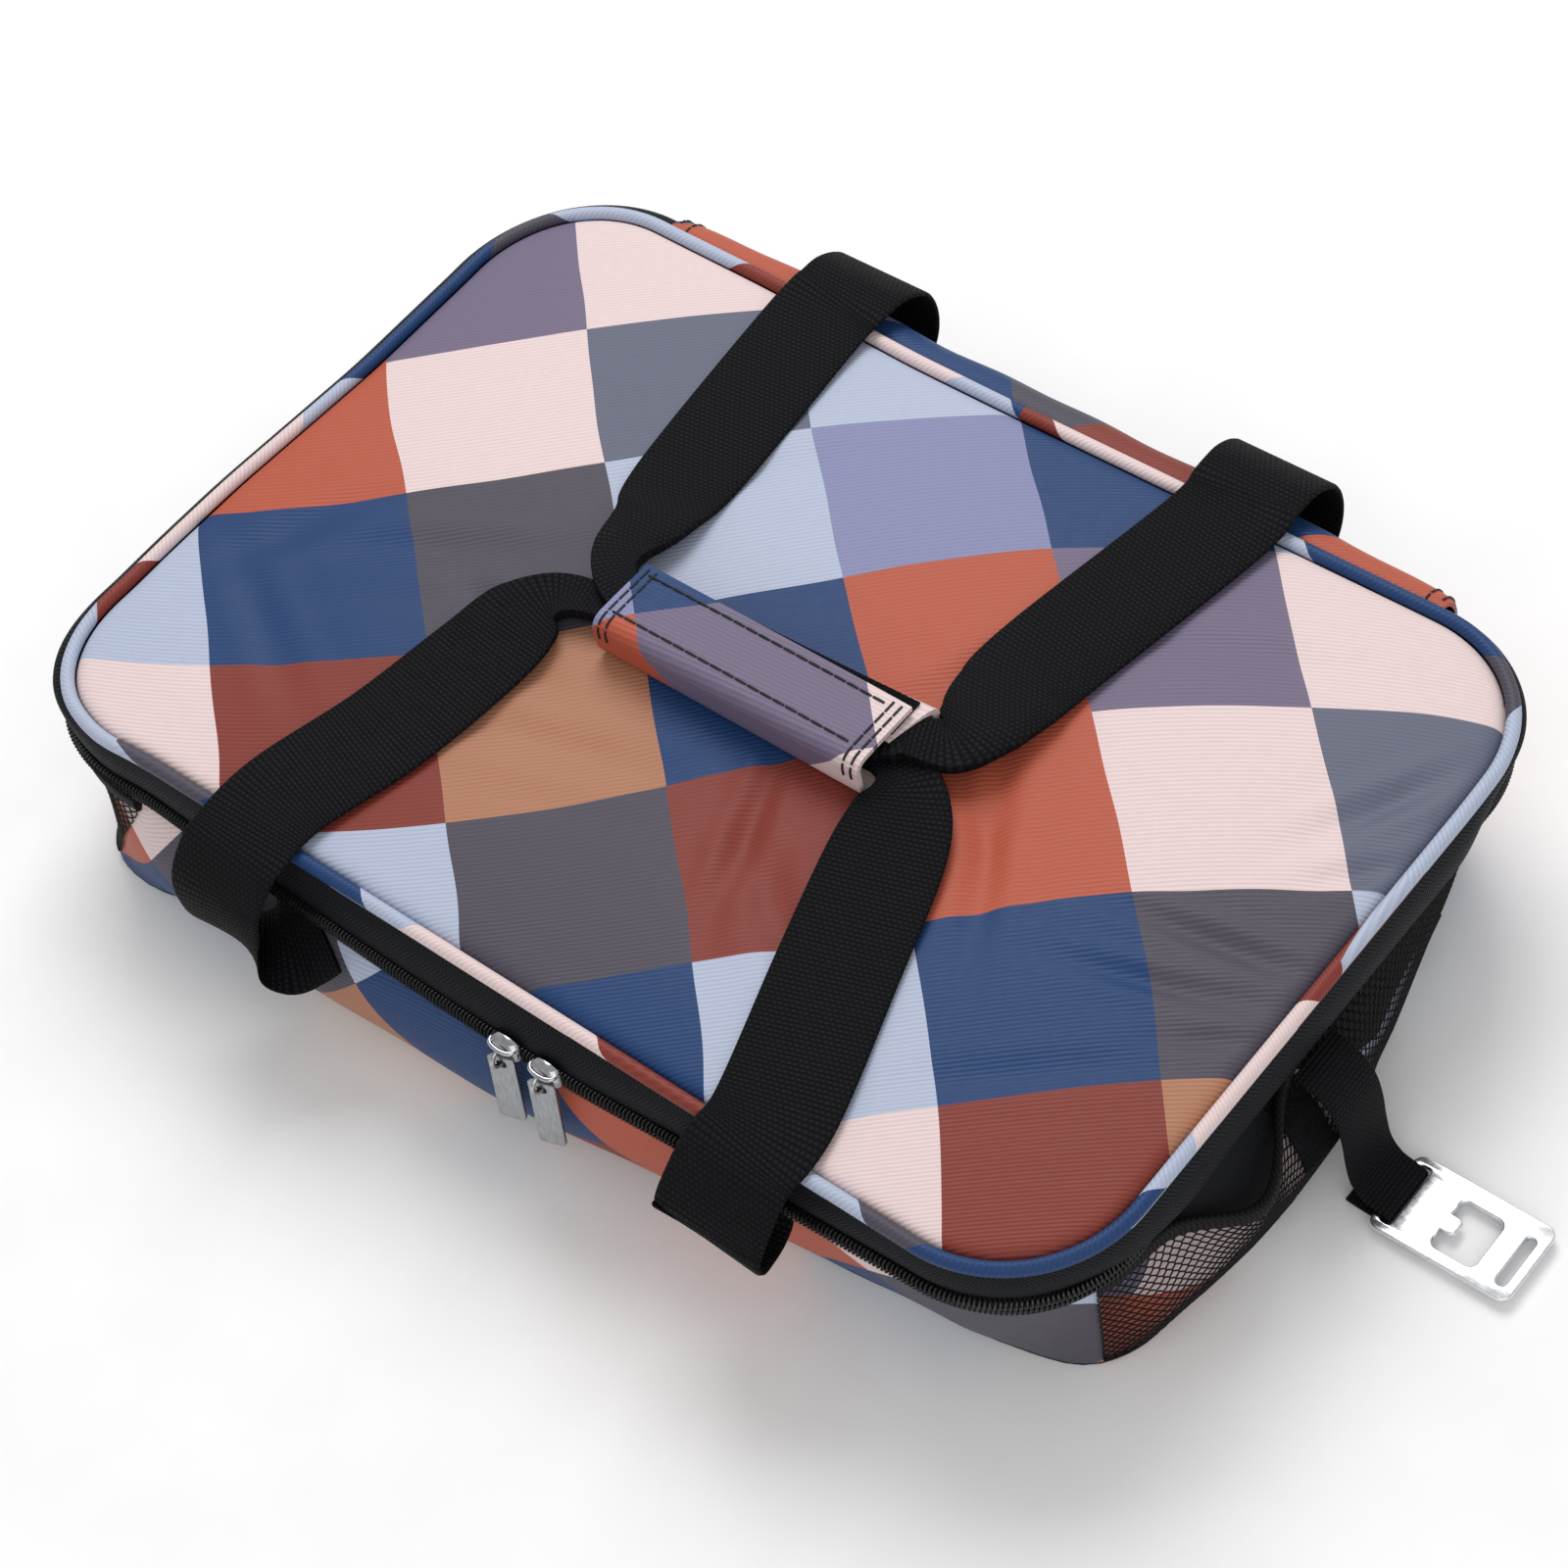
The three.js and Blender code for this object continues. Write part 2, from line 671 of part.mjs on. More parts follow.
// One leg of a handle, from its pivot beside the lid to the mouth of the grip.
function handleLeg(side, end, rootX, level) {
  const edge = end * halfWidth;
  const pivot = edge + end * strapBulge;
  const mouth = gripX + side * (gripLength / 2);
  const quarter = Math.PI / 2;
  const heading = (turn) => (side > 0 ? -end * turn : Math.PI * -end + end * turn);
  const point = (x, y, z, turn, gather = 0) => {
    const width = THREE.MathUtils.lerp(webbingWidth, gatheredWidth, gather);
    const thickness = THREE.MathUtils.lerp(webbingThickness, gatheredThickness, gather);
    return { x, y, z, width, thickness, heading: heading(turn) };
  };
  const x = side * rootX;
  const rise = lidHeight - strapPivotHeight;
  const neckX = mouth + side * neckLead;
  const lean = Math.atan2(Math.abs(x - neckX), halfWidth - neckReach);
  return [
    point(x, pivot, strapPivotHeight, 0),
    point(x, pivot - end * (strapBulge / 8), strapPivotHeight + rise / 2, 0),
    point(x, edge + end * (strapBulge / 2), lidHeight, 0),
    point(x, edge, lieHeight, lean / 2),
    point((x + neckX) / 2, (edge + gripY + end * neckReach) / 2, lieHeight, lean),
    point(neckX, gripY + end * neckReach, (lieHeight + level) / 2, lean, 0.4),
    point(mouth + side * (neckLead / 2), gripY + end * (neckReach / 8), level, quarter * 0.75, 1),
    point(mouth - side * neckLead, gripY, level, quarter, 1),
  ];
}

function buildHandle(name, end, rootX, level) {
  const steps = 44;
  const right = handleLeg(1, end, rootX, level);
  const left = handleLeg(-1, end, rootX, level).reverse();
  addPiece(name, ribbon([...right, ...left], steps), black, 0.9);
}

// The sewn end of a handle strap: it leaves the wall below the zip, sags and turns up.
function buildStrapRoot(name, side, end, rootX, sag) {
  const steps = 12;
  const wall = end * (halfWidth + panelSeamOffset + gap + webbingThickness / 2);
  const pivot = end * (halfWidth + strapBulge);
  const seam = panelTop - gap;
  const middle = (wall + pivot) / 2;
  const heading = end > 0 ? Math.PI : 0;
  const ends = { x: side * rootX, width: webbingWidth, thickness: webbingThickness, heading };
  const point = (y, z) => ({ ...ends, y, z });
  const controls = [
    point(wall, seam),
    point(wall + end * 2 * webbingThickness, seam - sag * 0.6),
    point(middle, seam - sag),
    point(pivot - end * (webbingThickness / 4), seam - sag * 0.4),
    point(pivot, strapPivotHeight - 2 * gap),
  ];
  addPiece(name, ribbon(controls, steps), black, 0.9);
}

// Grip: a printed wrap round both straps, closed on top by a flap with hook and loop strips.
function buildGrip() {
  const half = gripWidth / 2;
  const lipBottom = gripWall + gripInside;
  const lipTop = lipBottom + gripWall;
  const loopBottom = lipTop + gap;
  const hookBottom = loopBottom + fastenerThickness + gap;
  const flapBottom = hookBottom + fastenerThickness + gap;
  const outline = [
    [-half, 0], [half, 0], [half, lipTop], [half - gripLip, lipTop], [half - gripLip, lipBottom],
    [half - gripWall, lipBottom], [half - gripWall, gripWall], [-half + gripWall, gripWall],
    [-half + gripWall, flapBottom - gap], [-half, flapBottom - gap],
  ];
  const extrude = (points, length) => {
    const shape = new THREE.Shape(points.map(([y, z]) => new THREE.Vector2(y, z)));
    const geometry = new THREE.ExtrudeGeometry(shape, { depth: length, bevelEnabled: false });
    geometry.rotateX(Math.PI / 2).rotateZ(Math.PI / 2);
    return geometry.translate(gripX - length / 2, gripY, gripBottom);
  };
  const strip = (bottom) => boxProfile(half - gripLip + fastenerInset, half - fastenerInset,
    bottom, bottom + fastenerThickness);
  const fastenerLength = gripLength - 2 * fastenerInset;
  addPiece('grip_wrap', extrude(outline, gripLength), printSlate);
  addPiece('grip_loop_strip', extrude(strip(loopBottom), fastenerLength), black);
  addPiece('grip_hook_strip', extrude(strip(hookBottom), fastenerLength), black);
  addPiece('grip_flap', extrude(boxProfile(-half, half, flapBottom, flapBottom + gripWall), gripLength),
    printSlate);
}

// Stamped steel bottle opener: strap slot, cap opening with a lifting lip, and a far slot.
function buildOpener() {
  const shape = roundedRectangle(openerLength, openerWidth, openerCorner);
  const near = -openerLength / 2;
  const slot = (centre, width, length) => {
    const path = new THREE.Path();
    const x = width / 2;
    const y = length / 2;
    path.setFromPoints([[-x, -y], [-x, y], [x, y], [x, -y]].map(([px, py]) => new THREE.Vector2(centre + px, py)));
    path.closePath();
    return path;
  };
  shape.holes.push(slot(near + openerBar + strapSlot / 2, strapSlot, openerStrapWidth + 2 * strapSlotClearance));
  shape.holes.push(slot(-near - farSlotEnd, farSlotWidth, farSlotLength));
  const start = near + capOpeningStart;
  const end = start + capOpeningLength;
  const wide = capOpening / 2;
  const lip = capLip / 2;
  const cap = new THREE.Path();
  cap.setFromPoints([
    [start, -wide], [start, -lip], [start + capLipDepth, -lip], [start + capLipDepth, lip],
    [start, lip], [start, wide], [end, wide], [end, -wide],
  ].map(([x, y]) => new THREE.Vector2(x, y)));
  cap.closePath();
  shape.holes.push(cap);
  const plate = new THREE.ExtrudeGeometry(shape, {
    depth: openerThickness,
    bevelEnabled: false,
    curveSegments: 3,
  });
  plate.translate(openerNearX + openerLength / 2, openerY, openerLift);
  addPiece('bottle_opener', plate, steel, 0.3, 1);
}

// Webbing from under the zip at the right end down to the opener, looped round its bar.
function buildOpenerStrap() {
  const steps = 40;
  const half = openerStrapThickness / 2;
  const root = halfLength + coilOffset + tapeThickness + gap + half;
  const rootZ = lowerTapeTop - openerStrapThickness;
  const bindingTop = pocketSeamLift + pocketHeight + bindingHeight + gap;
  const bindingOut = halfLength + pocketSeat(bindingTop) + pocketBulge + bindingThickness;
  const over = openerLift + openerThickness + gap + half;
  const under = openerLift - gap - half;
  const slotX = openerNearX + openerBar;
  const size = { width: openerStrapWidth, thickness: openerStrapThickness };
  const point = (x, z) => ({ ...size, x, y: openerY, z, heading: Math.PI / 2 });
  const controls = [
    point(root, rootZ),
    point((root + bindingOut) / 2, bindingTop + 3 * half + gap),
    point(bindingOut + 2 * half, bindingTop),
    point(bindingOut + 4 * half, bindingTop - bindingHeight),
    point((bindingOut + openerNearX) / 2 + 2 * half, (bindingTop + over) / 2),
    point(openerNearX - openerBar, over + 4 * half),
    point(openerNearX, over + half),
    point(slotX, over),
    point(slotX + gap + 2 * half, (over + under) / 2),
    point(slotX, under),
    point(openerNearX, under),
    point(openerNearX - 2 * openerBar, under + half),
  ];
  addPiece('opener_strap', ribbon(controls, steps), black, 0.9);
}

buildBase();
buildFolds();
buildRim();
buildZip();
buildHinge();
buildLid();
buildPocket('left', -1);
buildPocket('right', 1);
buildSlider('left', leftSliderX);
buildSlider('right', rightSliderX);
buildHandle('front_handle_loop', -1, frontStrapX, frontStrapLevel);
buildHandle('back_handle_loop', 1, backStrapX, backStrapLevel);
buildStrapRoot('front_left_strap_root', -1, -1, frontStrapX, frontLeftSag);
buildStrapRoot('front_right_strap_root', 1, -1, frontStrapX, frontRightSag);
buildStrapRoot('back_left_strap_root', -1, 1, backStrapX, backSag);
buildStrapRoot('back_right_strap_root', 1, 1, backStrapX, backSag);
buildGrip();
buildOpener();
buildOpenerStrap();

export default cooler;
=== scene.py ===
"""Dresses the folded cooler bag: printed fabric, padding, zip, webbing, nets, grip and opener.

Lengths are in millimetres up to the moment a mesh is made, and the mesh itself is in metres.
"""

import logging
import math
from dataclasses import dataclass
from enum import Enum

import bmesh
import bpy
import numpy as np
from bpy.types import Material, Mesh, Node, NodeSocket, NodeTree, Object
from mathutils import Matrix, Vector


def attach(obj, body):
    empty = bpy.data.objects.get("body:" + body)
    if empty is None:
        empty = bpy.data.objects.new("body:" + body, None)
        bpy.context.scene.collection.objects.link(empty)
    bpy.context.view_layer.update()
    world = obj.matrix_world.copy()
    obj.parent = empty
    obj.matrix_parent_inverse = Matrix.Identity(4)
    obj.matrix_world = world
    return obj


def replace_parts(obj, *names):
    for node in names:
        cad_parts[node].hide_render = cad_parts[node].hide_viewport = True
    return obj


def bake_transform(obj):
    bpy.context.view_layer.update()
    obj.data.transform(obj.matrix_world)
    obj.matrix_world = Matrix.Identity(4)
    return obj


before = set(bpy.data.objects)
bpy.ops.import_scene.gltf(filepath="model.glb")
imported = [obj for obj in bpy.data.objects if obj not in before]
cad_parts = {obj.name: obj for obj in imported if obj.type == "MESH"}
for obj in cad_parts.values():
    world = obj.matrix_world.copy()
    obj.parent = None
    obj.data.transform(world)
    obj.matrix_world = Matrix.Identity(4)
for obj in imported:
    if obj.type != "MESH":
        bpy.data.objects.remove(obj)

LOG = logging.getLogger("cooler")
Array = np.ndarray
MM = 0.001
WELD = 1e-6
CREASE = math.radians(50)


def linear(code: str) -> tuple[float, float, float, float]:
    """Turns an sRGB hex colour into linear light.

    Args:
        code: The colour, as "#rrggbb".

    Returns:
        Red, green, blue and full alpha, in linear light.
    """
    channels = np.array([int(code[k:k + 2], 16) for k in (1, 3, 5)]) / 255
    low = channels / 12.92
    high = ((channels + 0.055) / 1.055) ** 2.4
    return (*np.where(channels <= 0.04045, low, high).tolist(), 1.0)


def add_node(tree: NodeTree, kind: str, feeds: dict, **settings: object) -> Node:
    """Adds a node with its settings, and feeds its sockets.

    Args:
        tree: The node tree.
        kind: The node's type name, without the leading ShaderNode.
        feeds: Socket name or number, to the value it is set to, or the node or socket that is linked to it.
        settings: The node's own properties.

    Returns:
        The new node.
    """
    node = tree.nodes.new("ShaderNode" + kind)
    for key, value in settings.items():
        setattr(node, key, value)
    for key, value in feeds.items():
        source = value.outputs[0] if isinstance(value, Node) else value
        if isinstance(source, NodeSocket):
            tree.links.new(source, node.inputs[key])
        else:
            node.inputs[key].default_value = source
    return node


class Side(Enum):
    """The left or right half of the bag, as the sign of x there."""

    LEFT = -1
    RIGHT = 1


class End(Enum):
    """The front or back half of the bag, as the sign of y there."""

    FRONT = -1
    BACK = 1


@dataclass(frozen=True)
class Finish:
    """A surface finish, made once and shared by the pieces that carry it."""

    name: str
    roughness: float = 0.6
    metallic: float = 0.0
    ior: float = 1.5
    specular: float = 0.5
    gloss_spread: float = 0.1
    bump: float = 0.2
    depth: float = 0.2

    def material(self) -> Material:
        """Finds the finish's material, or makes it at the first call.

        Returns:
            The material.
        """
        known = bpy.data.materials.get(self.name)
        if known:
            return known
        made = bpy.data.materials.new(self.name)
        made.use_nodes = True
        shader = made.node_tree.nodes["Principled BSDF"]
        shader.inputs["Roughness"].default_value = self.roughness
        shader.inputs["Metallic"].default_value = self.metallic
        shader.inputs["IOR"].default_value = self.ior
        shader.inputs["Specular IOR Level"].default_value = self.specular
        self.paint(made.node_tree, shader)
        return made

    def paint(self, tree: NodeTree, shader: Node) -> None:
        """Adds the finish's own nodes."""
        raise NotImplementedError

    def coat(self, tree: NodeTree, shader: Node, colour: NodeSocket,
             shine: Node, relief: Node) -> None:
        """Feeds the shader its colour, a roughness that varies by the gloss spread each way, and a bump.

        Args:
            tree: The material's nodes.
            shader: The shader that they feed.
            colour: The socket with the colour.
            shine: The node whose value, from 0 to 1, sets the roughness.
            relief: The node whose value, from 0 to 1, is the bump's height.
        """
        rough = add_node(tree, "MapRange", {
            "Value": shine,
            "To Min": max(self.roughness - self.gloss_spread, 0.02),
            "To Max": min(self.roughness + self.gloss_spread, 1.0)})
        bump = add_node(tree, "Bump", {"Height": relief, "Strength": self.bump, "Distance": self.depth * MM})
        tree.links.new(colour, shader.inputs["Base Color"])
        tree.links.new(rough.outputs[0], shader.inputs["Roughness"])
        tree.links.new(bump.outputs[0], shader.inputs["Normal"])


@dataclass(frozen=True)
class PrintedPolyester(Finish):
    """Ribbed polyester, printed with a harlequin check: flat colours, fine ribs, a satin sheen."""

    roughness: float = 0.5
    specular: float = 0.22
    gloss_spread: float = 0.08
    bump: float = 0.35
    depth: float = 0.3
    shift_x: float = 0.0
    shift_y: float = 0.0
    turn: float = 0.0
    rib_turn: float = 41.0
    cell_length: float = 95.2
    cell_width: float = 86.6
    drift: float = 4.0
    drift_rate: float = 14.0  # waves of the drift in a metre
    rib_pitch: float = 1.5  # the real ribs are 1.1 mm apart, which is too fine to show
    # How much the grooves between the ribs are darkened, as painted shade
    rib_shade: float = 0.14
    mottle: float = 3.8
    mottle_shade: float = 0.08
    ground: float = 0.82
    swatches: tuple[str, ...] = (
        "#B35741", "#E0CBCA", "#81382F", "#213F6D", "#AC785D", "#4E4A56",
        "#71677F", "#8487AC", "#636678", "#AFB8CD", "#213F6D",
    )

    def swatch_number(self, tree: NodeTree, cloth: NodeSocket) -> Node:
        """Adds the nodes that choose a point's swatch.

        A point's row i and column j are the whole parts of x/length + y/width and of
        x/length - y/width. With u = (i - j) mod 6 and v = j mod 3, its swatch is number
        (u + 5v + 8uv + 5uu + uuu) mod 11, and five further where 3u + v is 3 or 10, which spreads the
        colours as such prints do.

        Args:
            tree: The material's nodes.
            cloth: The point's place on the cloth.

        Returns:
            The node with the number.
        """
        placed = add_node(tree, "Mapping", {
            "Vector": cloth,
            "Location": (self.shift_x * MM, self.shift_y * MM, 0),
            "Rotation": (0, 0, math.radians(self.turn)),
        })
        noise = add_node(tree, "TexNoise", {"Vector": cloth, "Scale": self.drift_rate, "Detail": 1.0})
        half = (0.5, 0.5, 0.5)
        centred = add_node(tree, "VectorMath", {0: noise.outputs["Color"], 1: half}, operation="SUBTRACT")
        drift = (self.drift * MM,) * 3
        warped = add_node(tree, "VectorMath", {0: centred, 1: drift, 2: placed}, operation="MULTIPLY_ADD")
        place = add_node(tree, "SeparateXYZ", {0: warped})
        x = add_node(tree, "Math", {0: place.outputs["X"], 1: self.cell_length * MM}, operation="DIVIDE")
        y = add_node(tree, "Math", {0: place.outputs["Y"], 1: self.cell_width * MM}, operation="DIVIDE")
        rising = add_node(tree, "Math", {0: x, 1: y}, operation="ADD")
        falling = add_node(tree, "Math", {0: x, 1: y}, operation="SUBTRACT")
        i = add_node(tree, "Math", {0: rising}, operation="FLOOR")
        j = add_node(tree, "Math", {0: falling}, operation="FLOOR")
        gap = add_node(tree, "Math", {0: i, 1: j}, operation="SUBTRACT")
        u = add_node(tree, "Math", {0: gap, 1: 6.0}, operation="FLOORED_MODULO")
        v = add_node(tree, "Math", {0: j, 1: 3.0}, operation="FLOORED_MODULO")
        square = add_node(tree, "Math", {0: u, 1: 5.0}, operation="ADD")
        cubic = add_node(tree, "Math", {0: square, 1: u, 2: 1.0}, operation="MULTIPLY_ADD")
        alone = add_node(tree, "Math", {0: cubic, 1: u}, operation="MULTIPLY")
        mixed = add_node(tree, "Math", {0: u, 1: 8.0, 2: 5.0}, operation="MULTIPLY_ADD")
        sum_up = add_node(tree, "Math", {0: mixed, 1: v, 2: alone}, operation="MULTIPLY_ADD")
        order = add_node(tree, "Math", {0: u, 1: 3.0, 2: v}, operation="MULTIPLY_ADD")
        middle = add_node(tree, "Math", {0: order, 1: 6.5}, operation="SUBTRACT")
        away = add_node(tree, "Math", {0: middle}, operation="ABSOLUTE")
        odd_one = add_node(tree, "Math", {0: away, 1: 3.5, 2: 0.1}, operation="COMPARE")
        total = add_node(tree, "Math", {0: odd_one, 1: 5.0, 2: sum_up}, operation="MULTIPLY_ADD")
        return add_node(tree, "Math", {0: total, 1: float(len(self.swatches))}, operation="FLOORED_MODULO")

    def paint(self, tree: NodeTree, shader: Node) -> None:
        """Adds the check, the ribs and the soft mottling.

        The swatch is darkened by up to a seventh between the ribs, as painted shade in their grooves, and a
        little more by the mottling, which also spreads the gloss.

        Args:
            tree: The material's nodes.
            shader: The shader that they feed.
        """
        cloth = add_node(tree, "TexCoord", {}).outputs["UV"]
        count = len(self.swatches)
        number = self.swatch_number(tree, cloth)
        share = add_node(tree, "Math", {0: number, 1: 1 / count, 2: 0.5 / count}, operation="MULTIPLY_ADD")
        ramp = add_node(tree, "ValToRGB", {"Fac": share})
        ramp.color_ramp.interpolation = "CONSTANT"
        stops = ramp.color_ramp.elements
        for k, code in enumerate(self.swatches):
            stop = stops[k] if k < 1 else stops.new(k / count)
            stop.position = k / count
            stop.color = linear(code)
        stops.remove(stops[len(stops) - 1])

        slant = (0, 0, math.radians(-self.rib_turn))
        turned = add_node(tree, "Mapping", {"Vector": cloth, "Rotation": slant})
        across = add_node(tree, "SeparateXYZ", {0: turned})
        rate = 2 * math.pi / (self.rib_pitch * MM)
        phase = add_node(tree, "Math", {0: across.outputs["Y"], 1: rate}, operation="MULTIPLY")
        wave = add_node(tree, "Math", {0: phase}, operation="SINE")
        rib = add_node(tree, "Math", {0: wave, 1: 0.5, 2: 0.5}, operation="MULTIPLY_ADD")
        mottle = add_node(tree, "TexNoise", {"Vector": cloth, "Scale": 1 / (self.mottle * MM), "Detail": 2.0})
        # Painted shade in the grooves between the ribs
        lined = add_node(tree, "Math", {0: rib, 1: self.rib_shade, 2: self.ground}, operation="MULTIPLY_ADD")
        shade = add_node(tree, "Math", {0: mottle, 1: self.mottle_shade, 2: lined}, operation="MULTIPLY_ADD")
        tint = add_node(tree, "Mix", {0: 1.0, 6: ramp, 7: shade}, data_type="RGBA", blend_type="MULTIPLY")
        self.coat(tree, shader, tint.outputs[2], mottle, rib)


@dataclass(frozen=True)
class TwoTone(Finish):
    """A finish that lies between two shades of one colour."""

    low: str = "#101012"
    high: str = "#1C1C20"

    def tone(self, tree: NodeTree, level: Node, start: float = 0.0,
             end: float = 1.0) -> NodeSocket:
        """Adds a ramp from the low shade to the high one.

        Args:
            tree: The material's nodes.
            level: The node whose value picks the shade.
            start: The value of the low shade.
            end: The value of the high shade.

        Returns:
            The socket with the colour.
        """
        ramp = add_node(tree, "ValToRGB", {"Fac": level})
        for stop, place, code in zip(ramp.color_ramp.elements, (start, end), (self.low, self.high)):
            stop.position = place
            stop.color = linear(code)
        return ramp.outputs["Color"]


@dataclass(frozen=True)
class Webbing(TwoTone):
    """Black polypropylene webbing, woven: raised ribs across it, broken into small floats."""

    roughness: float = 0.7
    specular: float = 0.12
    gloss_spread: float = -0.1  # the raised floats are the smoother ones
    bump: float = 0.6
    depth: float = 0.6
    low: str = "#020203"
    high: str = "#14151A"
    rib_pitch: float = 1.5  # real ribs are about 0.8 mm apart, too fine to show
    float_pitch: float = 1.9
    crest: float = 0.75
    # Size of the noise whose lighter flecks are painted glints, and the share of the painted highlight on the
    # floats without them
    glint_grain: float = 1.1
    glint_base: float = 0.35

    def paint(self, tree: NodeTree, shader: Node) -> None:
        """Adds staggered floats: sines along and across without their sign, every second rib half a float on.

        Args:
            tree: The material's nodes.
            shader: The shader that they feed.
        """
        coordinates = add_node(tree, "TexCoord", {})
        place = add_node(tree, "SeparateXYZ", {0: coordinates.outputs["UV"]})
        rows = add_node(tree, "Math", {0: place.outputs["Y"], 1: self.rib_pitch * MM}, operation="DIVIDE")
        whole = add_node(tree, "Math", {0: rows}, operation="FLOOR")
        odd = add_node(tree, "Math", {0: whole, 1: 2.0}, operation="FLOORED_MODULO")
        floats = add_node(tree, "Math", {0: place.outputs["X"], 1: self.float_pitch * MM}, operation="DIVIDE")
        moved = add_node(tree, "Math", {0: odd, 1: 0.5, 2: floats}, operation="MULTIPLY_ADD")
        turn_over = add_node(tree, "Math", {0: rows, 1: math.pi}, operation="MULTIPLY")
        turn_along = add_node(tree, "Math", {0: moved, 1: math.pi}, operation="MULTIPLY")
        over = add_node(tree, "Math", {0: turn_over}, operation="SINE")
        along = add_node(tree, "Math", {0: turn_along}, operation="SINE")
        rib = add_node(tree, "Math", {0: over}, operation="ABSOLUTE")
        bead = add_node(tree, "Math", {0: along}, operation="ABSOLUTE")
        crest = add_node(tree, "Math", {0: bead, 1: self.crest, 2: 1 - self.crest}, operation="MULTIPLY_ADD")
        height = add_node(tree, "Math", {0: rib, 1: crest}, operation="MULTIPLY")
        # Painted highlight: the colour rises with the floats' height times a fine noise, so their tops show
        # lighter flecks as glints
        rate = 1 / (self.glint_grain * MM)
        glint_grain = add_node(tree, "TexNoise", {"Vector": coordinates.outputs["UV"], "Scale": rate})
        glint_share = add_node(tree, "Math", {0: glint_grain, 1: self.glint_base}, operation="ADD")
        level = add_node(tree, "Math", {0: height, 1: glint_share}, operation="MULTIPLY")
        self.coat(tree, shader, self.tone(tree, level), height, height)


@dataclass(frozen=True)
class HerringboneTape(TwoTone):
    """Black polyester zip tape, woven in herringbone: slanting lines that turn back every few millimetres."""

    specular: float = 0.15
    gloss_spread: float = -0.08  # the raised lines are the smoother ones
    bump: float = 0.5
    depth: float = 0.4
    low: str = "#040507"
    high: str = "#17191F"
    line_pitch: float = 1.5
    band: float = 3.0

    def paint(self, tree: NodeTree, shader: Node) -> None:
        """Adds lines: a sine of the place along the tape plus a saw-tooth of the place across it.

        Args:
            tree: The material's nodes.
            shader: The shader that they feed.
        """
        coordinates = add_node(tree, "TexCoord", {})
        place = add_node(tree, "SeparateXYZ", {0: coordinates.outputs["UV"]})
        slant = add_node(tree, "Math", {0: place.outputs["Y"], 1: self.band * MM}, operation="PINGPONG")
        along = add_node(tree, "Math", {0: place.outputs["X"], 1: slant}, operation="ADD")
        rate = 2 * math.pi / (self.line_pitch * MM)
        phase = add_node(tree, "Math", {0: along, 1: rate}, operation="MULTIPLY")
        wave = add_node(tree, "Math", {0: phase}, operation="SINE")
        line = add_node(tree, "Math", {0: wave, 1: 0.5, 2: 0.5}, operation="MULTIPLY_ADD")
        self.coat(tree, shader, self.tone(tree, line), line, line)


@dataclass(frozen=True)
class Grained(TwoTone):
    """A surface with grain: the colour, the bump and the gloss vary with a noise of real size."""

    grain: float = 0.8
    detail: float = 3.0
    ramp: tuple[float, float] = (0.3, 0.7)
    stretch: tuple[float, float, float] = (1.0, 1.0, 1.0)

    def paint(self, tree: NodeTree, shader: Node) -> None:
        """Adds the grain: noise at the grain's size drives colour, roughness and bump.

        Args:
            tree: The material's nodes.
            shader: The shader that they feed.
        """
        coordinates = add_node(tree, "TexCoord", {})
        scaled = add_node(tree, "Mapping", {"Vector": coordinates.outputs["Object"], "Scale": self.stretch})
        rate = 1 / (self.grain * MM)
        noise = add_node(tree, "TexNoise", {"Vector": scaled, "Scale": rate, "Detail": self.detail})
        self.coat(tree, shader, self.tone(tree, noise, *self.ramp), noise, noise)


# Heat-printed polyester: flat colours with crisp borders, which the woven ribs break into fine slanting lines
LID_PRINT = PrintedPolyester("printed_ribbed_polyester_lid", shift_x=242.2, shift_y=5.4, drift=6.0)
# The same cloth turned upright on the wall, so that its ribs run nearly level there
WALL_PRINT = PrintedPolyester("printed_ribbed_polyester_wall", shift_x=189.0, shift_y=219.0, rib_turn=8.0)
# Cut on the bias round the cord: short runs of colour, with ribs that wind round like a rope
PIPING_PRINT = PrintedPolyester("printed_bias_piping", shift_x=32.0, shift_y=136.0, rib_turn=55.0)
# A folded strip of the cloth at the hinge: long runs of colour along the roll
HINGE_PRINT = PrintedPolyester("printed_hinge_roll", shift_x=240.0, shift_y=168.3, turn=-90.0)
# A small cut of the cloth, so that one colour fills most of the grip
GRIP_PRINT = PrintedPolyester("printed_grip_wrap", shift_x=327.6, shift_y=104.0, rib_turn=4.0)
# Spun polypropylene, woven tight: a dead black with rows of small beads, whose tops carry painted highlights
# in small glints
WEBBING = Webbing("woven_polypropylene_webbing")
# The narrow webbing is the same weave on a finer loom
OPENER_WEBBING = Webbing("narrow_polypropylene_webbing", rib_pitch=1.4, float_pitch=1.6)
# Woven polyester: blue-black, with slanting lines that turn back and forth
TAPE = HerringboneTape("herringbone_zip_tape", 0.65)
# Knitted rubber and polyester: small chevrons on a dull black
BINDING = HerringboneTape("knitted_elastic_binding", 0.7, line_pitch=1.6, band=1.6, low="#040405",
                          high="#141518")
# Drawn nylon wire: black, with a bright line along each turn
COIL = Grained("moulded_nylon_coil", 0.28, low="#08080A", high="#1A1A1E", grain=1.2, gloss_spread=0.08)
# Knitted polyester yarn: thin dull black lines with the wall's colours between them
NET = Grained("knitted_polyester_net", 0.6, specular=0.2, low="#040405", high="#101012", grain=0.5, bump=0.4)
# Napped nylon loops: a black fuzz that swallows the light
FLEECE = Grained("brushed_loop_pile", 0.95, specular=0.1, low="#020202", high="#191A1D", grain=0.7, bump=1.0,
                 depth=0.8)
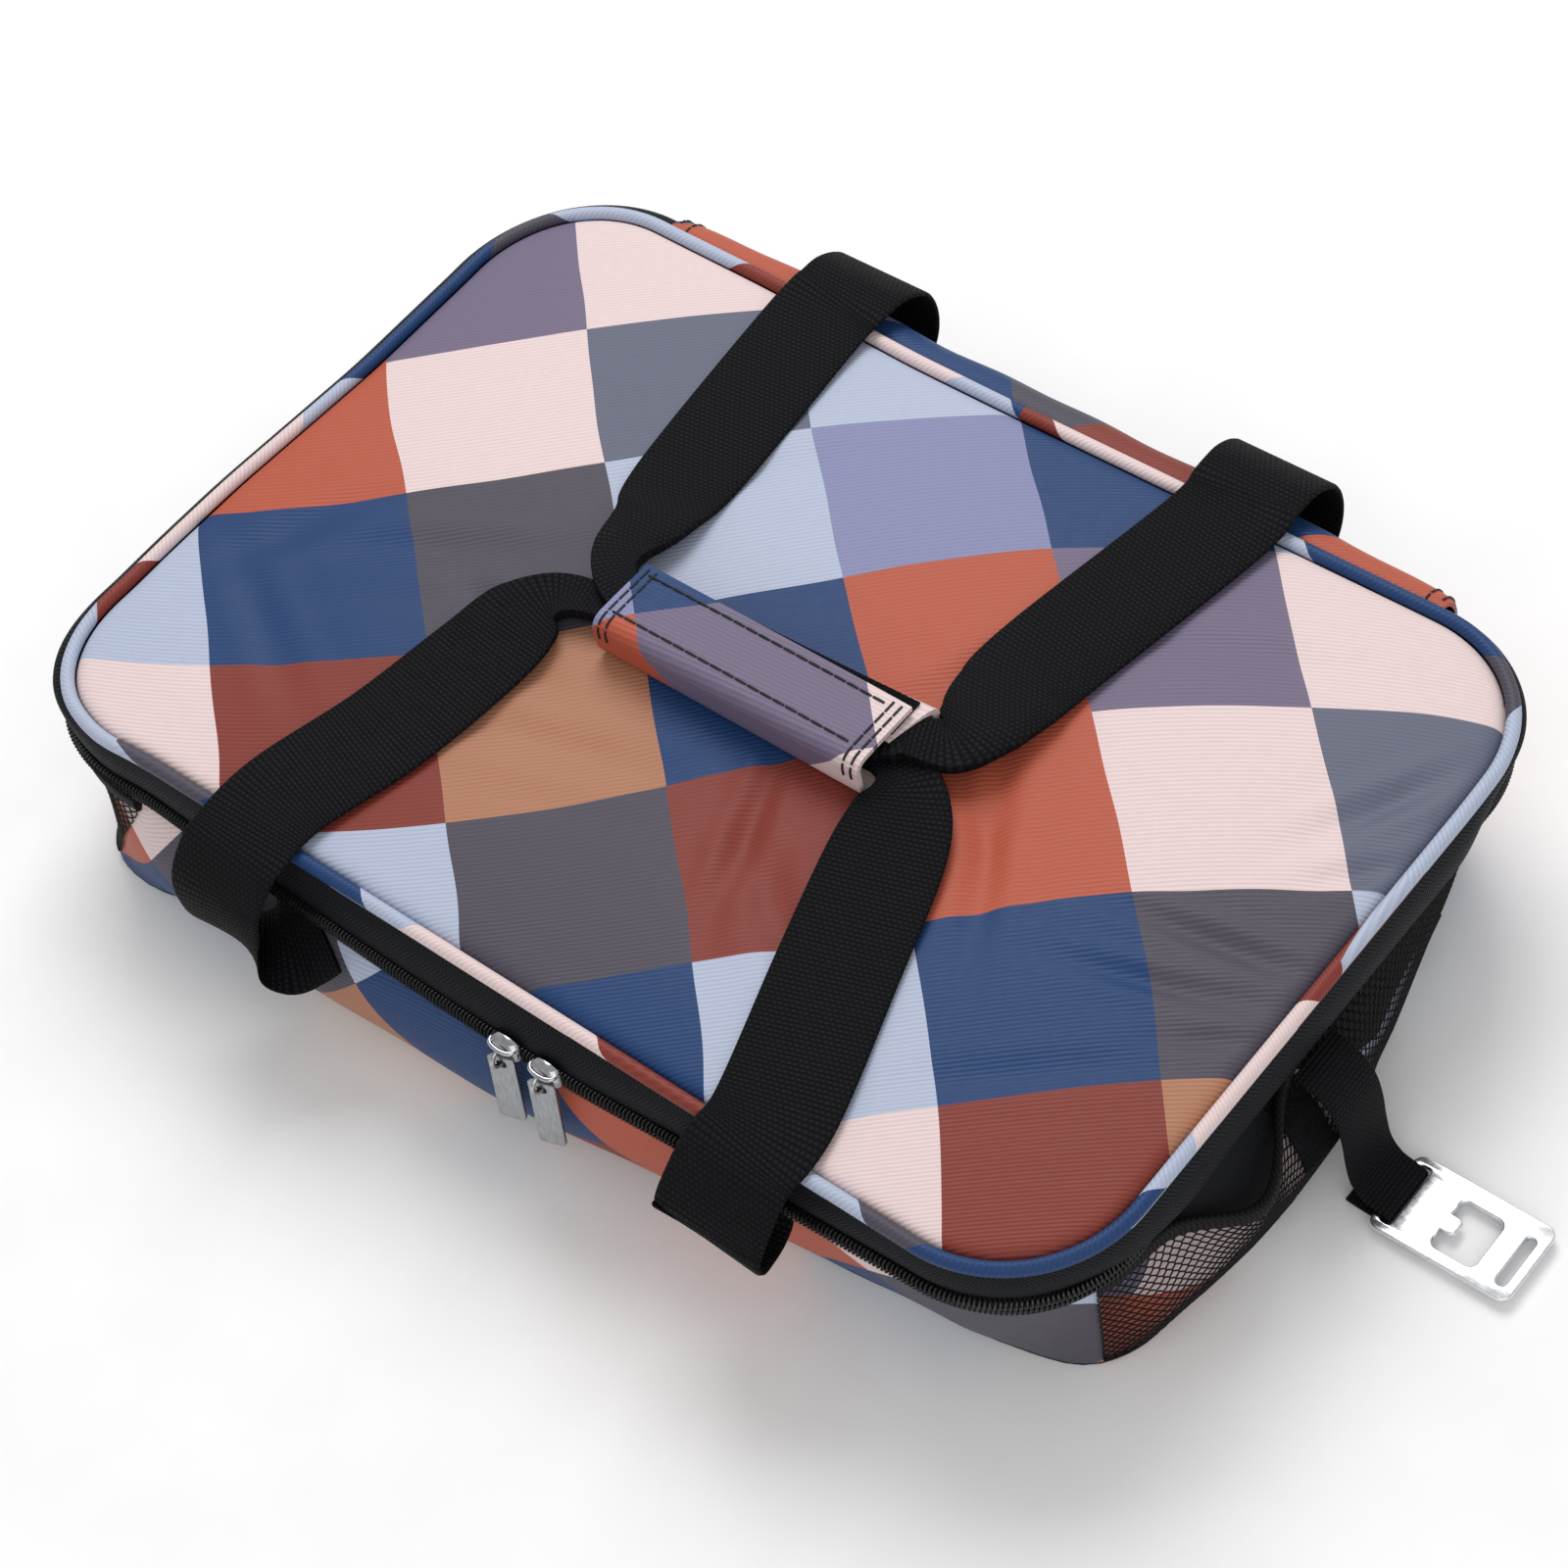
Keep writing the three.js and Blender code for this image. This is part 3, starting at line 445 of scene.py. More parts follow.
# Twisted filament: black, with lighter flecks in its grain as painted glints on the stitches
THREAD = Grained("twisted_polyester_thread", 0.55, specular=0.3, low="#060607", high="#2C2C31", grain=0.4,
                 bump=0.5)
# Die-cast zinc under bright nickel: mirror-like, with soft dark edges
PLATED = Grained("nickel_plated_zinc", 0.14, metallic=1.0, low="#9A9B9E", high="#C2C3C6", grain=2.5,
                 bump=0.05, gloss_spread=0.05)
# The same casting brushed lengthways before plating: a soft grey streaked glow
SATIN = Grained("satin_nickel_zinc", 0.34, metallic=1.0, low="#8E9093", high="#A6A8AB", grain=0.6, bump=0.06,
                stretch=(1.0, 1.0, 0.08), gloss_spread=0.06)
# Stamped and tumbled stainless steel: nearly white under soft light, a little clouded
STEEL = Grained("tumbled_stainless_steel", 0.2, metallic=1.0, low="#D9DBDF", high="#F0F1F4", grain=1.6,
                bump=0.01, gloss_spread=0.06)
# Aluminised film welded to foam: silver grey, crumpled in broad facets
FOIL = Grained("heat_welded_foil_lining", 0.36, low="#BEC3C8", high="#D3D7DA", grain=9.0, bump=0.5, depth=0.6)
# Coated polyester: dull black with a pebbled skin
UNDERSIDE = Grained("coated_polyester_base", 0.7, specular=0.2, low="#0B0C0E", high="#191B1F", grain=0.9,
                    bump=0.5)
# Pressed polyethylene: plain mid grey, slightly clouded
BOARD = Grained("pressed_polyethylene_board", 0.55, low="#5F6265", high="#74777A", grain=3.0)
# Uncoated white paper: even and matt
PAPER = Grained("matt_white_paper", 0.9, low="#F2F2F2", high="#F6F6F6", grain=40.0, bump=0.0)


class Patchwork:
    """Gathers grids of points, in millimetres, and joins them into one mesh."""

    def __init__(self) -> None:
        """Starts with no points."""
        self.points: list[Array] = []
        self.quads: list[Array] = []
        self.corners: list[Array] = []
        self.count = 0

    @staticmethod
    def at_corners(values: Array) -> Array:
        """Returns a grid's values at the four corners of each of its faces."""
        return np.stack([values[:, :-1, :-1], values[:, :-1, 1:], values[:, 1:, 1:], values[:, 1:, :-1]], 3)

    def add(self, grid: Array, cloth: Array | None = None, ring_rows: bool = False) -> None:
        """Adds one grid, or a stack of grids of the same size, whose last column joins the first.

        Args:
            grid: Points, rows by columns by three, with the stack first if there is one.
            cloth: Place on the cloth in millimetres, with one more column, and one more row if the rows
                are a ring.
            ring_rows: The last row joins the first.
        """
        stack = grid.reshape((-1, *grid.shape[-3:]))
        index = np.arange(stack[..., 0].size).reshape(stack.shape[:3]) + self.count
        index = np.concatenate([index, index[:, :, :1]], 2)
        if ring_rows:
            index = np.concatenate([index, index[:, :1]], 1)
        place = np.zeros((*index.shape, 2)) if cloth is None else cloth.reshape((*index.shape, 2))
        self.quads.append(self.at_corners(index).reshape(-1, 4))
        self.corners.append(self.at_corners(place).reshape(-1, 4, 2))
        self.points.append(stack.reshape(-1, 3))
        self.count += len(self.points[-1])

    def build(self, name: str) -> Object:
        """Makes the object: points that meet are welded, and the faces turned outwards.

        Args:
            name: The piece's name.

        Returns:
            The object, at the origin.
        """
        mesh = bpy.data.meshes.new(name)
        points = np.concatenate(self.points) * MM
        quads = np.concatenate(self.quads)
        mesh.from_pydata(points.tolist(), [], quads.tolist())
        layer = mesh.uv_layers.new(name="cloth")
        layer.data.foreach_set("uv", (np.concatenate(self.corners) * MM).astype(np.float32).ravel())
        return finish_mesh(name, mesh)


def finish_mesh(name: str, mesh: Mesh) -> Object:
    """Welds a mesh, turns its faces outwards, smooths it and makes it an object.

    Args:
        name: The piece's name.
        mesh: The mesh, in its place, in metres.

    Returns:
        The object, at the origin.
    """
    shell = bmesh.new()
    shell.from_mesh(mesh)
    bmesh.ops.remove_doubles(shell, verts=shell.verts, dist=WELD)
    bmesh.ops.recalc_face_normals(shell, faces=shell.faces)
    shell.to_mesh(mesh)
    shell.free()
    mesh.polygons.foreach_set("use_smooth", np.ones(len(mesh.polygons), bool))
    mesh.set_sharp_from_angle(angle=CREASE)
    piece = bpy.data.objects.new(name, mesh)
    bpy.context.scene.collection.objects.link(piece)
    return piece


def sewn(name: str, grid: Array, cloth: Array | None = None, ring_rows: bool = False) -> Object:
    """Makes a piece of one grid.

    Args:
        name: The piece's name.
        grid: Points, as for Patchwork.add.
        cloth: Place on the cloth, as there.
        ring_rows: The last row joins the first.

    Returns:
        The object, at the origin.
    """
    patch = Patchwork()
    patch.add(grid, cloth, ring_rows)
    return patch.build(name)


def dress(piece: Object, finish: Finish) -> Object:
    """Gives a piece its finish and reports it.

    Args:
        piece: The piece.
        finish: Its finish.

    Returns:
        The piece.
    """
    piece.data.materials.append(finish.material())
    LOG.info("%s: %d faces, %s", piece.name, len(piece.data.polygons), finish.name)
    return piece


def doubled(values: Array) -> Array:
    """Returns rows with the first and the last given twice, as the rows that close a strip need."""
    return np.concatenate([values[:1], values, values[-1:]])


def capped(grid: Array) -> Array:
    """Returns rings of points with a ring drawn in to one point before the first and after the last."""
    middle = grid.mean(1, keepdims=True) + 0 * grid
    return np.concatenate([middle[:1], grid, middle[-1:]])


def folded(face: Array, gap: float = 0.0) -> Array:
    """Returns values across an outer face and then, less a gap, back across the inner one."""
    return np.concatenate([face, face[..., ::-1] - gap], -1)


def on_cloth(along: Array, across: Array) -> Array:
    """Returns the place on the cloth of a grid's points: along it by rows, across it by columns."""
    return np.stack(np.broadcast_arrays(along[:, None], across), -1)


def signed_power(values: Array, power: float) -> Array:
    """Returns values with their sizes raised to a power and their signs kept."""
    return np.sign(values) * np.abs(values) ** power


def there_and_back(run: Array) -> Array:
    """Returns a way across the outer face and back across the inner one, closed by its first value."""
    return np.append(folded(run), run[0])


def two_faces(edge: Array, share: Array, first: Array, second: float) -> Array:
    """Lays a flat piece as rings from its middle out over one face and back in over the other.

    Args:
        edge: Points of the piece's edge.
        share: Each ring's share of the way out, as a column.
        first: Height of each ring on the first face, as a column.
        second: Height of the second face.

    Returns:
        The grid: rings by points by three.
    """
    x, y = share * edge[:, 0], share * edge[:, 1]
    heights = np.concatenate([first + 0 * x, np.full_like(x, second)])
    return np.stack([np.concatenate([x, x[::-1]]), np.concatenate([y, y[::-1]]), heights], -1)


def curve_through(controls: Array, samples: int) -> Array:
    """Runs a smooth curve through rows of values, at even steps of its length.

    Between two rows the value is the cubic whose slope at each row is half the difference of that
    row's neighbours. The first three columns are the place, and the others follow along.

    Args:
        controls: The rows.
        samples: How many rows to return.

    Returns:
        The sampled rows.
    """
    padded = np.concatenate([[2 * controls[0] - controls[1]], controls, [2 * controls[-1] - controls[-2]]])
    fine = np.linspace(0, len(controls) - 1, samples * 6)
    step = np.clip(fine.astype(int), 0, len(controls) - 2)
    share = (fine - step)[:, None]
    before, here, ahead, after = (padded[step + k] for k in range(4))
    rows = here + 0.5 * share * (ahead - before + share * (
        2 * before - 5 * here + 4 * ahead - after + share * (3 * (here - ahead) + after - before)))
    travel = lengths(rows[:, :3])
    even = np.linspace(0, travel[-1], samples)
    return np.stack([np.interp(even, travel, column) for column in rows.T], 1)


def lengths(track: Array) -> Array:
    """Returns the distance walked at each point of a track."""
    return np.concatenate([[0.0], np.cumsum(np.linalg.norm(np.diff(track, axis=0), axis=1))])


def unit(vectors: Array) -> Array:
    """Returns vectors of length one."""
    return vectors / np.maximum(np.linalg.norm(vectors, axis=-1, keepdims=True), 1e-9)


def tube(track: Array, radius: float | Array, sides: int) -> Array:
    """Carries a round profile along tracks, and draws it in to a point at both ends.

    Args:
        track: Points, with any stack first: stack by points by three.
        radius: The tube's radius.
        sides: Points round the profile.

    Returns:
        The grid: stack by rows by sides by three.
    """
    tangent = unit(np.gradient(track, axis=-2))
    aside = unit(np.cross(tangent, np.broadcast_to([0.31, 0.17, 0.94], tangent.shape)))
    above = np.cross(tangent, aside)
    angle = np.linspace(0, 2 * math.pi, sides, endpoint=False)
    ring = aside[..., None, :] * np.cos(angle)[:, None] + above[..., None, :] * np.sin(angle)[:, None]
    body = track[..., None, :] + ring * radius
    ends = np.broadcast_to(track[..., None, :], body.shape)
    return np.concatenate([ends[..., :1, :, :], body, ends[..., -1:, :, :]], -3)


SIDE = np.array([-1, -0.985, -0.94, -0.5, 0, 0.5, 0.94, 0.985, 1, 0.985, 0.94, 0.5, 0, -0.5, -0.94, -0.985])
LIFT = np.array([0, 0.6, 1, 1, 1, 1, 1, 0.6, 0, -0.6, -1, -1, -1, -1, -1, -0.6])


def ribbon(rows: Array) -> tuple[Array, Array]:
    """Carries a flat profile with round edges along a track.

    A profile point at side p, from -1 to 1, lies p times half the width across, and half the
    thickness plus bow times (p squared less a third) off the ribbon's face.

    Args:
        rows: x, y, z, width, thickness, bow, heading and tilt of the width in degrees.

    Returns:
        The grid, closed at both ends, and its place on the cloth.
    """
    heading, tilt = np.radians(rows[:, 6]), np.radians(rows[:, 7])
    across = np.stack([np.cos(heading) * np.cos(tilt), np.sin(heading) * np.cos(tilt), np.sin(tilt)], 1)
    tangent = unit(np.gradient(rows[:, :3], axis=0))
    across = unit(across - tangent * np.sum(across * tangent, 1, keepdims=True))
    normal = np.cross(across, tangent)
    track, width, thickness, bow = (doubled(part) for part in np.split(rows[:, :6], (3, 4, 5), axis=1))
    thickness[[0, -1]] = 0.0
    aside = SIDE * width / 2
    off = LIFT * thickness / 2 + bow * (SIDE ** 2 - 1 / 3)
    grid = track[:, None] + doubled(across)[:, None] * aside[..., None]
    grid = grid + doubled(normal)[:, None] * off[..., None]
    travel = doubled(lengths(rows[:, :3]))
    cloth = np.stack(np.broadcast_arrays(np.append(SIDE, SIDE[0]) * width / 2, travel[:, None]), -1)
    return grid, cloth


def stamped_plate(name: str, loops: list[Array], thickness: float, bevel: float,
                  place: Matrix) -> Object:
    """Stamps a plate from flat loops, the first its edge and the rest its holes, with rounded edges.

    Args:
        name: The piece's name.
        loops: Points of each loop in the plate's own plane, in millimetres.
        thickness: The plate's thickness.
        bevel: The radius of its edges.
        place: The plate's place, in metres.

    Returns:
        The object, with its place in its mesh.
    """
    curve = bpy.data.curves.new(name + "_edge", "CURVE")
    curve.dimensions = "2D"
    curve.fill_mode = "BOTH"
    curve.extrude = (thickness / 2 - bevel) * MM
    curve.bevel_depth = bevel * MM
    curve.bevel_resolution = 2
    curve.offset = -bevel * MM
    for loop in loops:
        spline = curve.splines.new("POLY")
        spline.points.add(len(loop) - 1)
        flat = np.concatenate([loop * MM, np.zeros((len(loop), 1)), np.ones((len(loop), 1))], 1)
        spline.points.foreach_set("co", flat.ravel())
        spline.use_cyclic_u = True
    helper = bpy.data.objects.new(name + "_edge", curve)
    bpy.context.scene.collection.objects.link(helper)
    graph = bpy.context.evaluated_depsgraph_get()
    mesh = bpy.data.meshes.new_from_object(helper.evaluated_get(graph))
    bpy.data.objects.remove(helper)
    mesh.name = name
    mesh.transform(place)
    return finish_mesh(name, mesh)


CORNER_STEPS = 8


def rounded_loop(length: float, width: float, radius: float,
                 centre: tuple[float, float] = (0.0, 0.0)) -> Array:
    """Draws a rectangle with round corners: a quarter circle at each corner, straight lines between them.

    Args:
        length: Its length along x.
        width: Its width along y.
        radius: The corners' radius.
        centre: Its middle.

    Returns:
        The loop of points, from the right round by the top.
    """
    steps = np.linspace(0, math.pi / 2, CORNER_STEPS)
    corners = []
    for quarter, (sx, sy) in enumerate([(1, 1), (-1, 1), (-1, -1), (1, -1)]):
        angle = steps + quarter * math.pi / 2
        corners.append(np.stack([
            centre[0] + sx * (length / 2 - radius) + radius * np.cos(angle),
            centre[1] + sy * (width / 2 - radius) + radius * np.sin(angle)], 1))
    return np.concatenate(corners)


@dataclass(frozen=True)
class Outline:
    """The lid's plan: a rectangle with round corners, walked from the middle of the back to the left."""

    half_length: float = 203.0
    half_width: float = 130.0
    corner: float = 45.0
    # The soft body lies askew under the lid, so the zip's offset changes on the way round
    coil_at: tuple[float, ...] = (
        0, 155, 190, 215, 400, 435, 469, 498, 572, 607, 657, 677,
        699, 755, 785, 820, 856, 893, 941, 968, 1016, 1062, 1099, 1254.74)
    coil_offset: tuple[float, ...] = (
        4.0, 4.0, 3.2, 2.6, 2.6, 2.4, 1.4, 3.0, 5.6, 6.3, 6.3, 5.4,
        3.8, 2.2, 0.6, 0.2, -2.0, -4.5, -4.5, -4.5, -4.5, -2.5, 0.8, 4.0)
    coil_ease: float = 12.0
    # The lid's left end is drawn out, most at its corners
    pull_at: tuple[float, ...] = (
        0, 45, 110, 150, 170, 190, 210, 228, 282, 315, 345,
        375, 400, 420, 437, 455, 480, 1015, 1035, 1075, 1100, 1254.74)
    pull: tuple[float, ...] = (
        0, 0.3, 3.5, 4.0, 4.4, 3.6, 1.8, 0.6, 0, 1.8, 3.4,
        3.4, 2.6, 4.6, 5.0, 2.2, 0, 0, -0.7, -0.5, 0, 0)
    pull_ease: float = 8.0

    def eased(self, distance: Array, places: tuple[float, ...], values: tuple[float, ...],
              reach: float) -> Array:
        """Returns a value given at places round the bag, averaged over a reach each way."""
        near = np.mod(np.asarray(distance, float)[..., None] + np.linspace(-reach, reach, 7), self.around)
        return np.interp(near, places, values).mean(-1)

    def coil(self, distance: Array) -> Array:
        """Returns the offset of the zip's coil at a distance."""
        return self.eased(distance, self.coil_at, self.coil_offset, self.coil_ease)

    def knots(self) -> Array:
        """Finds the distances at which a straight or a corner starts.

        Returns:
            The distances, and last the whole way round.
        """
        x, y = self.half_length - self.corner, self.half_width - self.corner
        arc = math.pi / 2 * self.corner
        return np.cumsum([0, x, arc, 2 * y, arc, 2 * x, arc, 2 * y, arc, x])

    def steps(self, count: int) -> Array:
        """Returns even distances right round the outline."""
        return np.linspace(0, self.around, count, endpoint=False)

    @property
    def around(self) -> float:
        """The length of the outline."""
        return float(self.knots()[-1])

    def at(self, distance: Array, offset: Array | float, height: Array | float) -> Array:
        """Finds points beside the outline.

        A corner's centre stays while its angle turns, and along a straight the centre moves while
        the angle stays. The point lies the corner's radius, the offset and the pull from the centre.

        Args:
            distance: Distance walked along the outline.
            offset: How far outside the outline the point lies.
            height: Height over the floor.

        Returns:
            The points.
        """
        x, y = self.half_length - self.corner, self.half_width - self.corner
        walked = np.mod(distance, self.around)
        knots = self.knots()
        centre_x = np.interp(walked, knots, [0, -x, -x, -x, -x, x, x, x, x, 0])
        centre_y = np.interp(walked, knots, [y, y, y, -y, -y, -y, -y, y, y, y])
        angle = np.radians(np.interp(walked, knots, [90, 90, 180, 180, 270, 270, 360, 360, 450, 450]))
        reach = self.corner + offset + self.eased(walked, self.pull_at, self.pull, self.pull_ease)
        return np.stack(np.broadcast_arrays(
            centre_x + reach * np.cos(angle), centre_y + reach * np.sin(angle), height), -1)


OUTLINE = Outline()


@dataclass
class Lid:
    """The padded lid: printed cover over foam, piping round its edge, lining underneath."""

    columns: int = 420
    rings: int = 56
    rim_rings: int = 18
    rim_share: float = 0.9
    under_rings: int = 24
    edge_offset: float = -3.7
    edge_height: float = 74.9
    crown: float = 3.0
    shoulder_drop: float = 3.3
    shoulder_width: float = 1.7
    foot_inset: float = 3.4
    underside: float = 62.0
    chamfer: float = 1.0
    piping_radius: float = 2.3
    piping_sides: int = 14
    piping_offset: float = -1.5
    piping_height: float = 73.7
    # How far the piping's print has crept along, at distances round the bag
    creep_at: tuple[float, ...] = (452, 469, 489, 508, 526, 674, 712, 745, 875, 893, 950, 984, 1010)
    creep: tuple[float, ...] = (0, 12, 0, -9, 0, 0, -23, 0, 0, 6, 28, 0, 0)
    lining_height: float = 61.3
    lining_thickness: float = 0.8
    lining_offset: float = 2.6
    lining_inset: float = 2.2
    lining_rings: int = 60
    bead: float = 0.7
    bead_share: float = 0.93
    bead_width: float = 0.008
    # Each pucker: place, direction of its valley in degrees, half length, half width, depth
    puckers: tuple[tuple[float, float, float, float, float, float], ...] = (
        (95, -13, -60, 34, 9, 3.0), (74, 2, -40, 26, 7, 1.8), (32, -46, -70, 30, 8, 2.2),
        (64, -70, -35, 40, 12, 1.6), (172, -4, 10, 26, 6.5, 2.9), (166, -24, 18, 26, 6.5, 2.9),
        (184, -34, 30, 16, 5.5, 1.8), (180, 58, 62, 24, 8, 2.8), (190, 38, 50, 16, 6.5, 2.2),
        (-122, -16, 30, 36, 12, 1.6), (-170, -34, 62, 26, 12, 1.8), (-79, -31, -20, 26, 9, 1.5),
        (-40, -56, 15, 40, 12, 1.6), (59, 50, 70, 36, 11, 1.8), (-60, 60, 40, 44, 14, 1.4),
        (150, -70, 40, 34, 9, 1.3), (120, 84, 20, 40, 12, 1.1), (-150, -70, -30, 34, 10, 1.3),
    )
    # How far the cloth is drawn askew along and across, by powers of x over half the length (rows) and of
    # y over half the width (columns)
    drift_x: tuple[tuple[float, ...], ...] = (
        (-2.4, 10.2, -1.5, -10.9), (-0.9, -1.0, -1.6, 0), (4.3, -22.1, 0, 0), (-2.7, 0, 0, 0))
    drift_y: tuple[tuple[float, ...], ...] = (
        (-3.0, -7.5, 3.0, 5.0), (-3.5, 2.0, 2.6, 0), (5.5, 13.8, 0, 0), (6.7, 0, 0, 0))

    def cloth(self, x: Array, y: Array) -> Array:
        """Finds the place on the cloth: the place on the lid, plus the drift, a cubic of x and y.

        Args:
            x: Place along the lid.
            y: Place across the lid.

        Returns:
            Places on the cloth.
        """
        along, across = x / OUTLINE.half_length, y / OUTLINE.half_width
        polynomial = np.polynomial.polynomial.polyval2d
        drift_x = polynomial(along, across, np.array(self.drift_x))
        drift_y = polynomial(along, across, np.array(self.drift_y))
        return np.stack([x + drift_x, y + drift_y], -1)

    def height(self, x: Array, y: Array) -> Array:
        """Finds the cover's height: a flat crown, less the puckers.

        The crown is its height times one less the fourth power of x over half the length, times the
        same in y. A pucker is a cosine across its valley, faded by bell curves along and across it.

        Args:
            x: Place along the lid.
            y: Place across the lid.

        Returns:
            Heights over the floor.
        """
        rise = (1 - (x / OUTLINE.half_length) ** 4) * (1 - (y / OUTLINE.half_width) ** 4)
        height = self.edge_height + self.crown * np.clip(rise, 0, 1)
        for px, py, turn, half_length, half_width, depth in self.puckers:
            angle = math.radians(turn)
            along = (x - px) * math.cos(angle) + (y - py) * math.sin(angle)
            across = (y - py) * math.cos(angle) - (x - px) * math.sin(angle)
            bell = np.exp(-(along / half_length) ** 2 - 0.5 * (across / half_width) ** 2)
            height = height - depth * 0.5 * (1 + np.cos(np.pi * across / half_width)) * bell
        return height

    def pad(self) -> Object:
        """Builds cover and foam as one closed pad: rings from the middle out, down the side and back.

        Returns:
            The object.
        """
        distance = OUTLINE.steps(self.columns)
        edge = OUTLINE.at(distance, self.edge_offset, 0.0)
        inner = np.linspace(0, self.rim_share, self.rings)
        share = np.concatenate([inner, np.linspace(self.rim_share, 1, self.rim_rings)[1:]])[:, None]
        x, y = share * edge[:, 0], share * edge[:, 1]
        inside = (1 - share) * np.hypot(edge[:, 0], edge[:, 1])
        top = self.height(x, y) - self.shoulder_drop * np.exp(-inside / self.shoulder_width)
        foot_offset = np.minimum(self.edge_offset, OUTLINE.coil(distance) - self.foot_inset)
        foot = OUTLINE.at(distance, foot_offset, 0.0)
        inward = np.linspace(1, 0, self.under_rings)[:, None]
        low = np.full((self.under_rings + 1, self.columns), self.underside)
        low[0] += self.chamfer
        grid = np.stack([
            np.concatenate([x, foot[None, :, 0], inward * foot[:, 0]]),
            np.concatenate([y, foot[None, :, 1], inward * foot[:, 1]]),
            np.concatenate([top, low])], -1)
        flat = np.concatenate([grid, grid[:, :1]], 1)
        return sewn("padded_lid", grid, self.cloth(flat[..., 0], flat[..., 1]))

    def piping(self) -> Object:
        """Builds the piping: a round cord carried right round the lid.

        Returns:
            The object.
        """
        distance = np.linspace(0, OUTLINE.around, self.columns + 1)
        angle = np.linspace(0, 2 * math.pi, self.piping_sides + 1)
        grid = OUTLINE.at(
            distance[:-1, None],
            self.piping_offset + self.piping_radius * np.cos(angle[:-1]),
            self.piping_height + self.piping_radius * np.sin(angle[:-1]))
        crept = distance + np.interp(distance, self.creep_at, self.creep)
        return sewn("piping_cord", grid, on_cloth(crept, angle * self.piping_radius), ring_rows=True)

    def lining(self) -> Object:
        """Builds the foil lining under the lid, with a welded bead near its edge: a bell over the rings.

        Returns:
            The object.
        """
        distance = OUTLINE.steps(self.columns // 2)
        offset = np.minimum(self.lining_offset, OUTLINE.coil(distance) - self.lining_inset)
        share = np.linspace(0, 1, self.lining_rings)[:, None]
        bead = self.bead * np.exp(-((share - self.bead_share) / self.bead_width) ** 2)
        low = self.lining_height - self.lining_thickness / 2 - bead
        high = self.lining_height + self.lining_thickness / 2
        return sewn("lid_foil_lining", two_faces(OUTLINE.at(distance, offset, 0.0), share, low, high))

    def build(self) -> None:
        """Builds, dresses and mounts the lid's pieces."""
        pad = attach(dress(self.pad(), LID_PRINT), "lid")
        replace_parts(pad, "lid_cover", "lid_foam")
        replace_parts(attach(dress(self.piping(), PIPING_PRINT), "lid"), "lid_piping")
        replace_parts(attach(dress(self.lining(), FOIL), "lid"), "lid_lining")


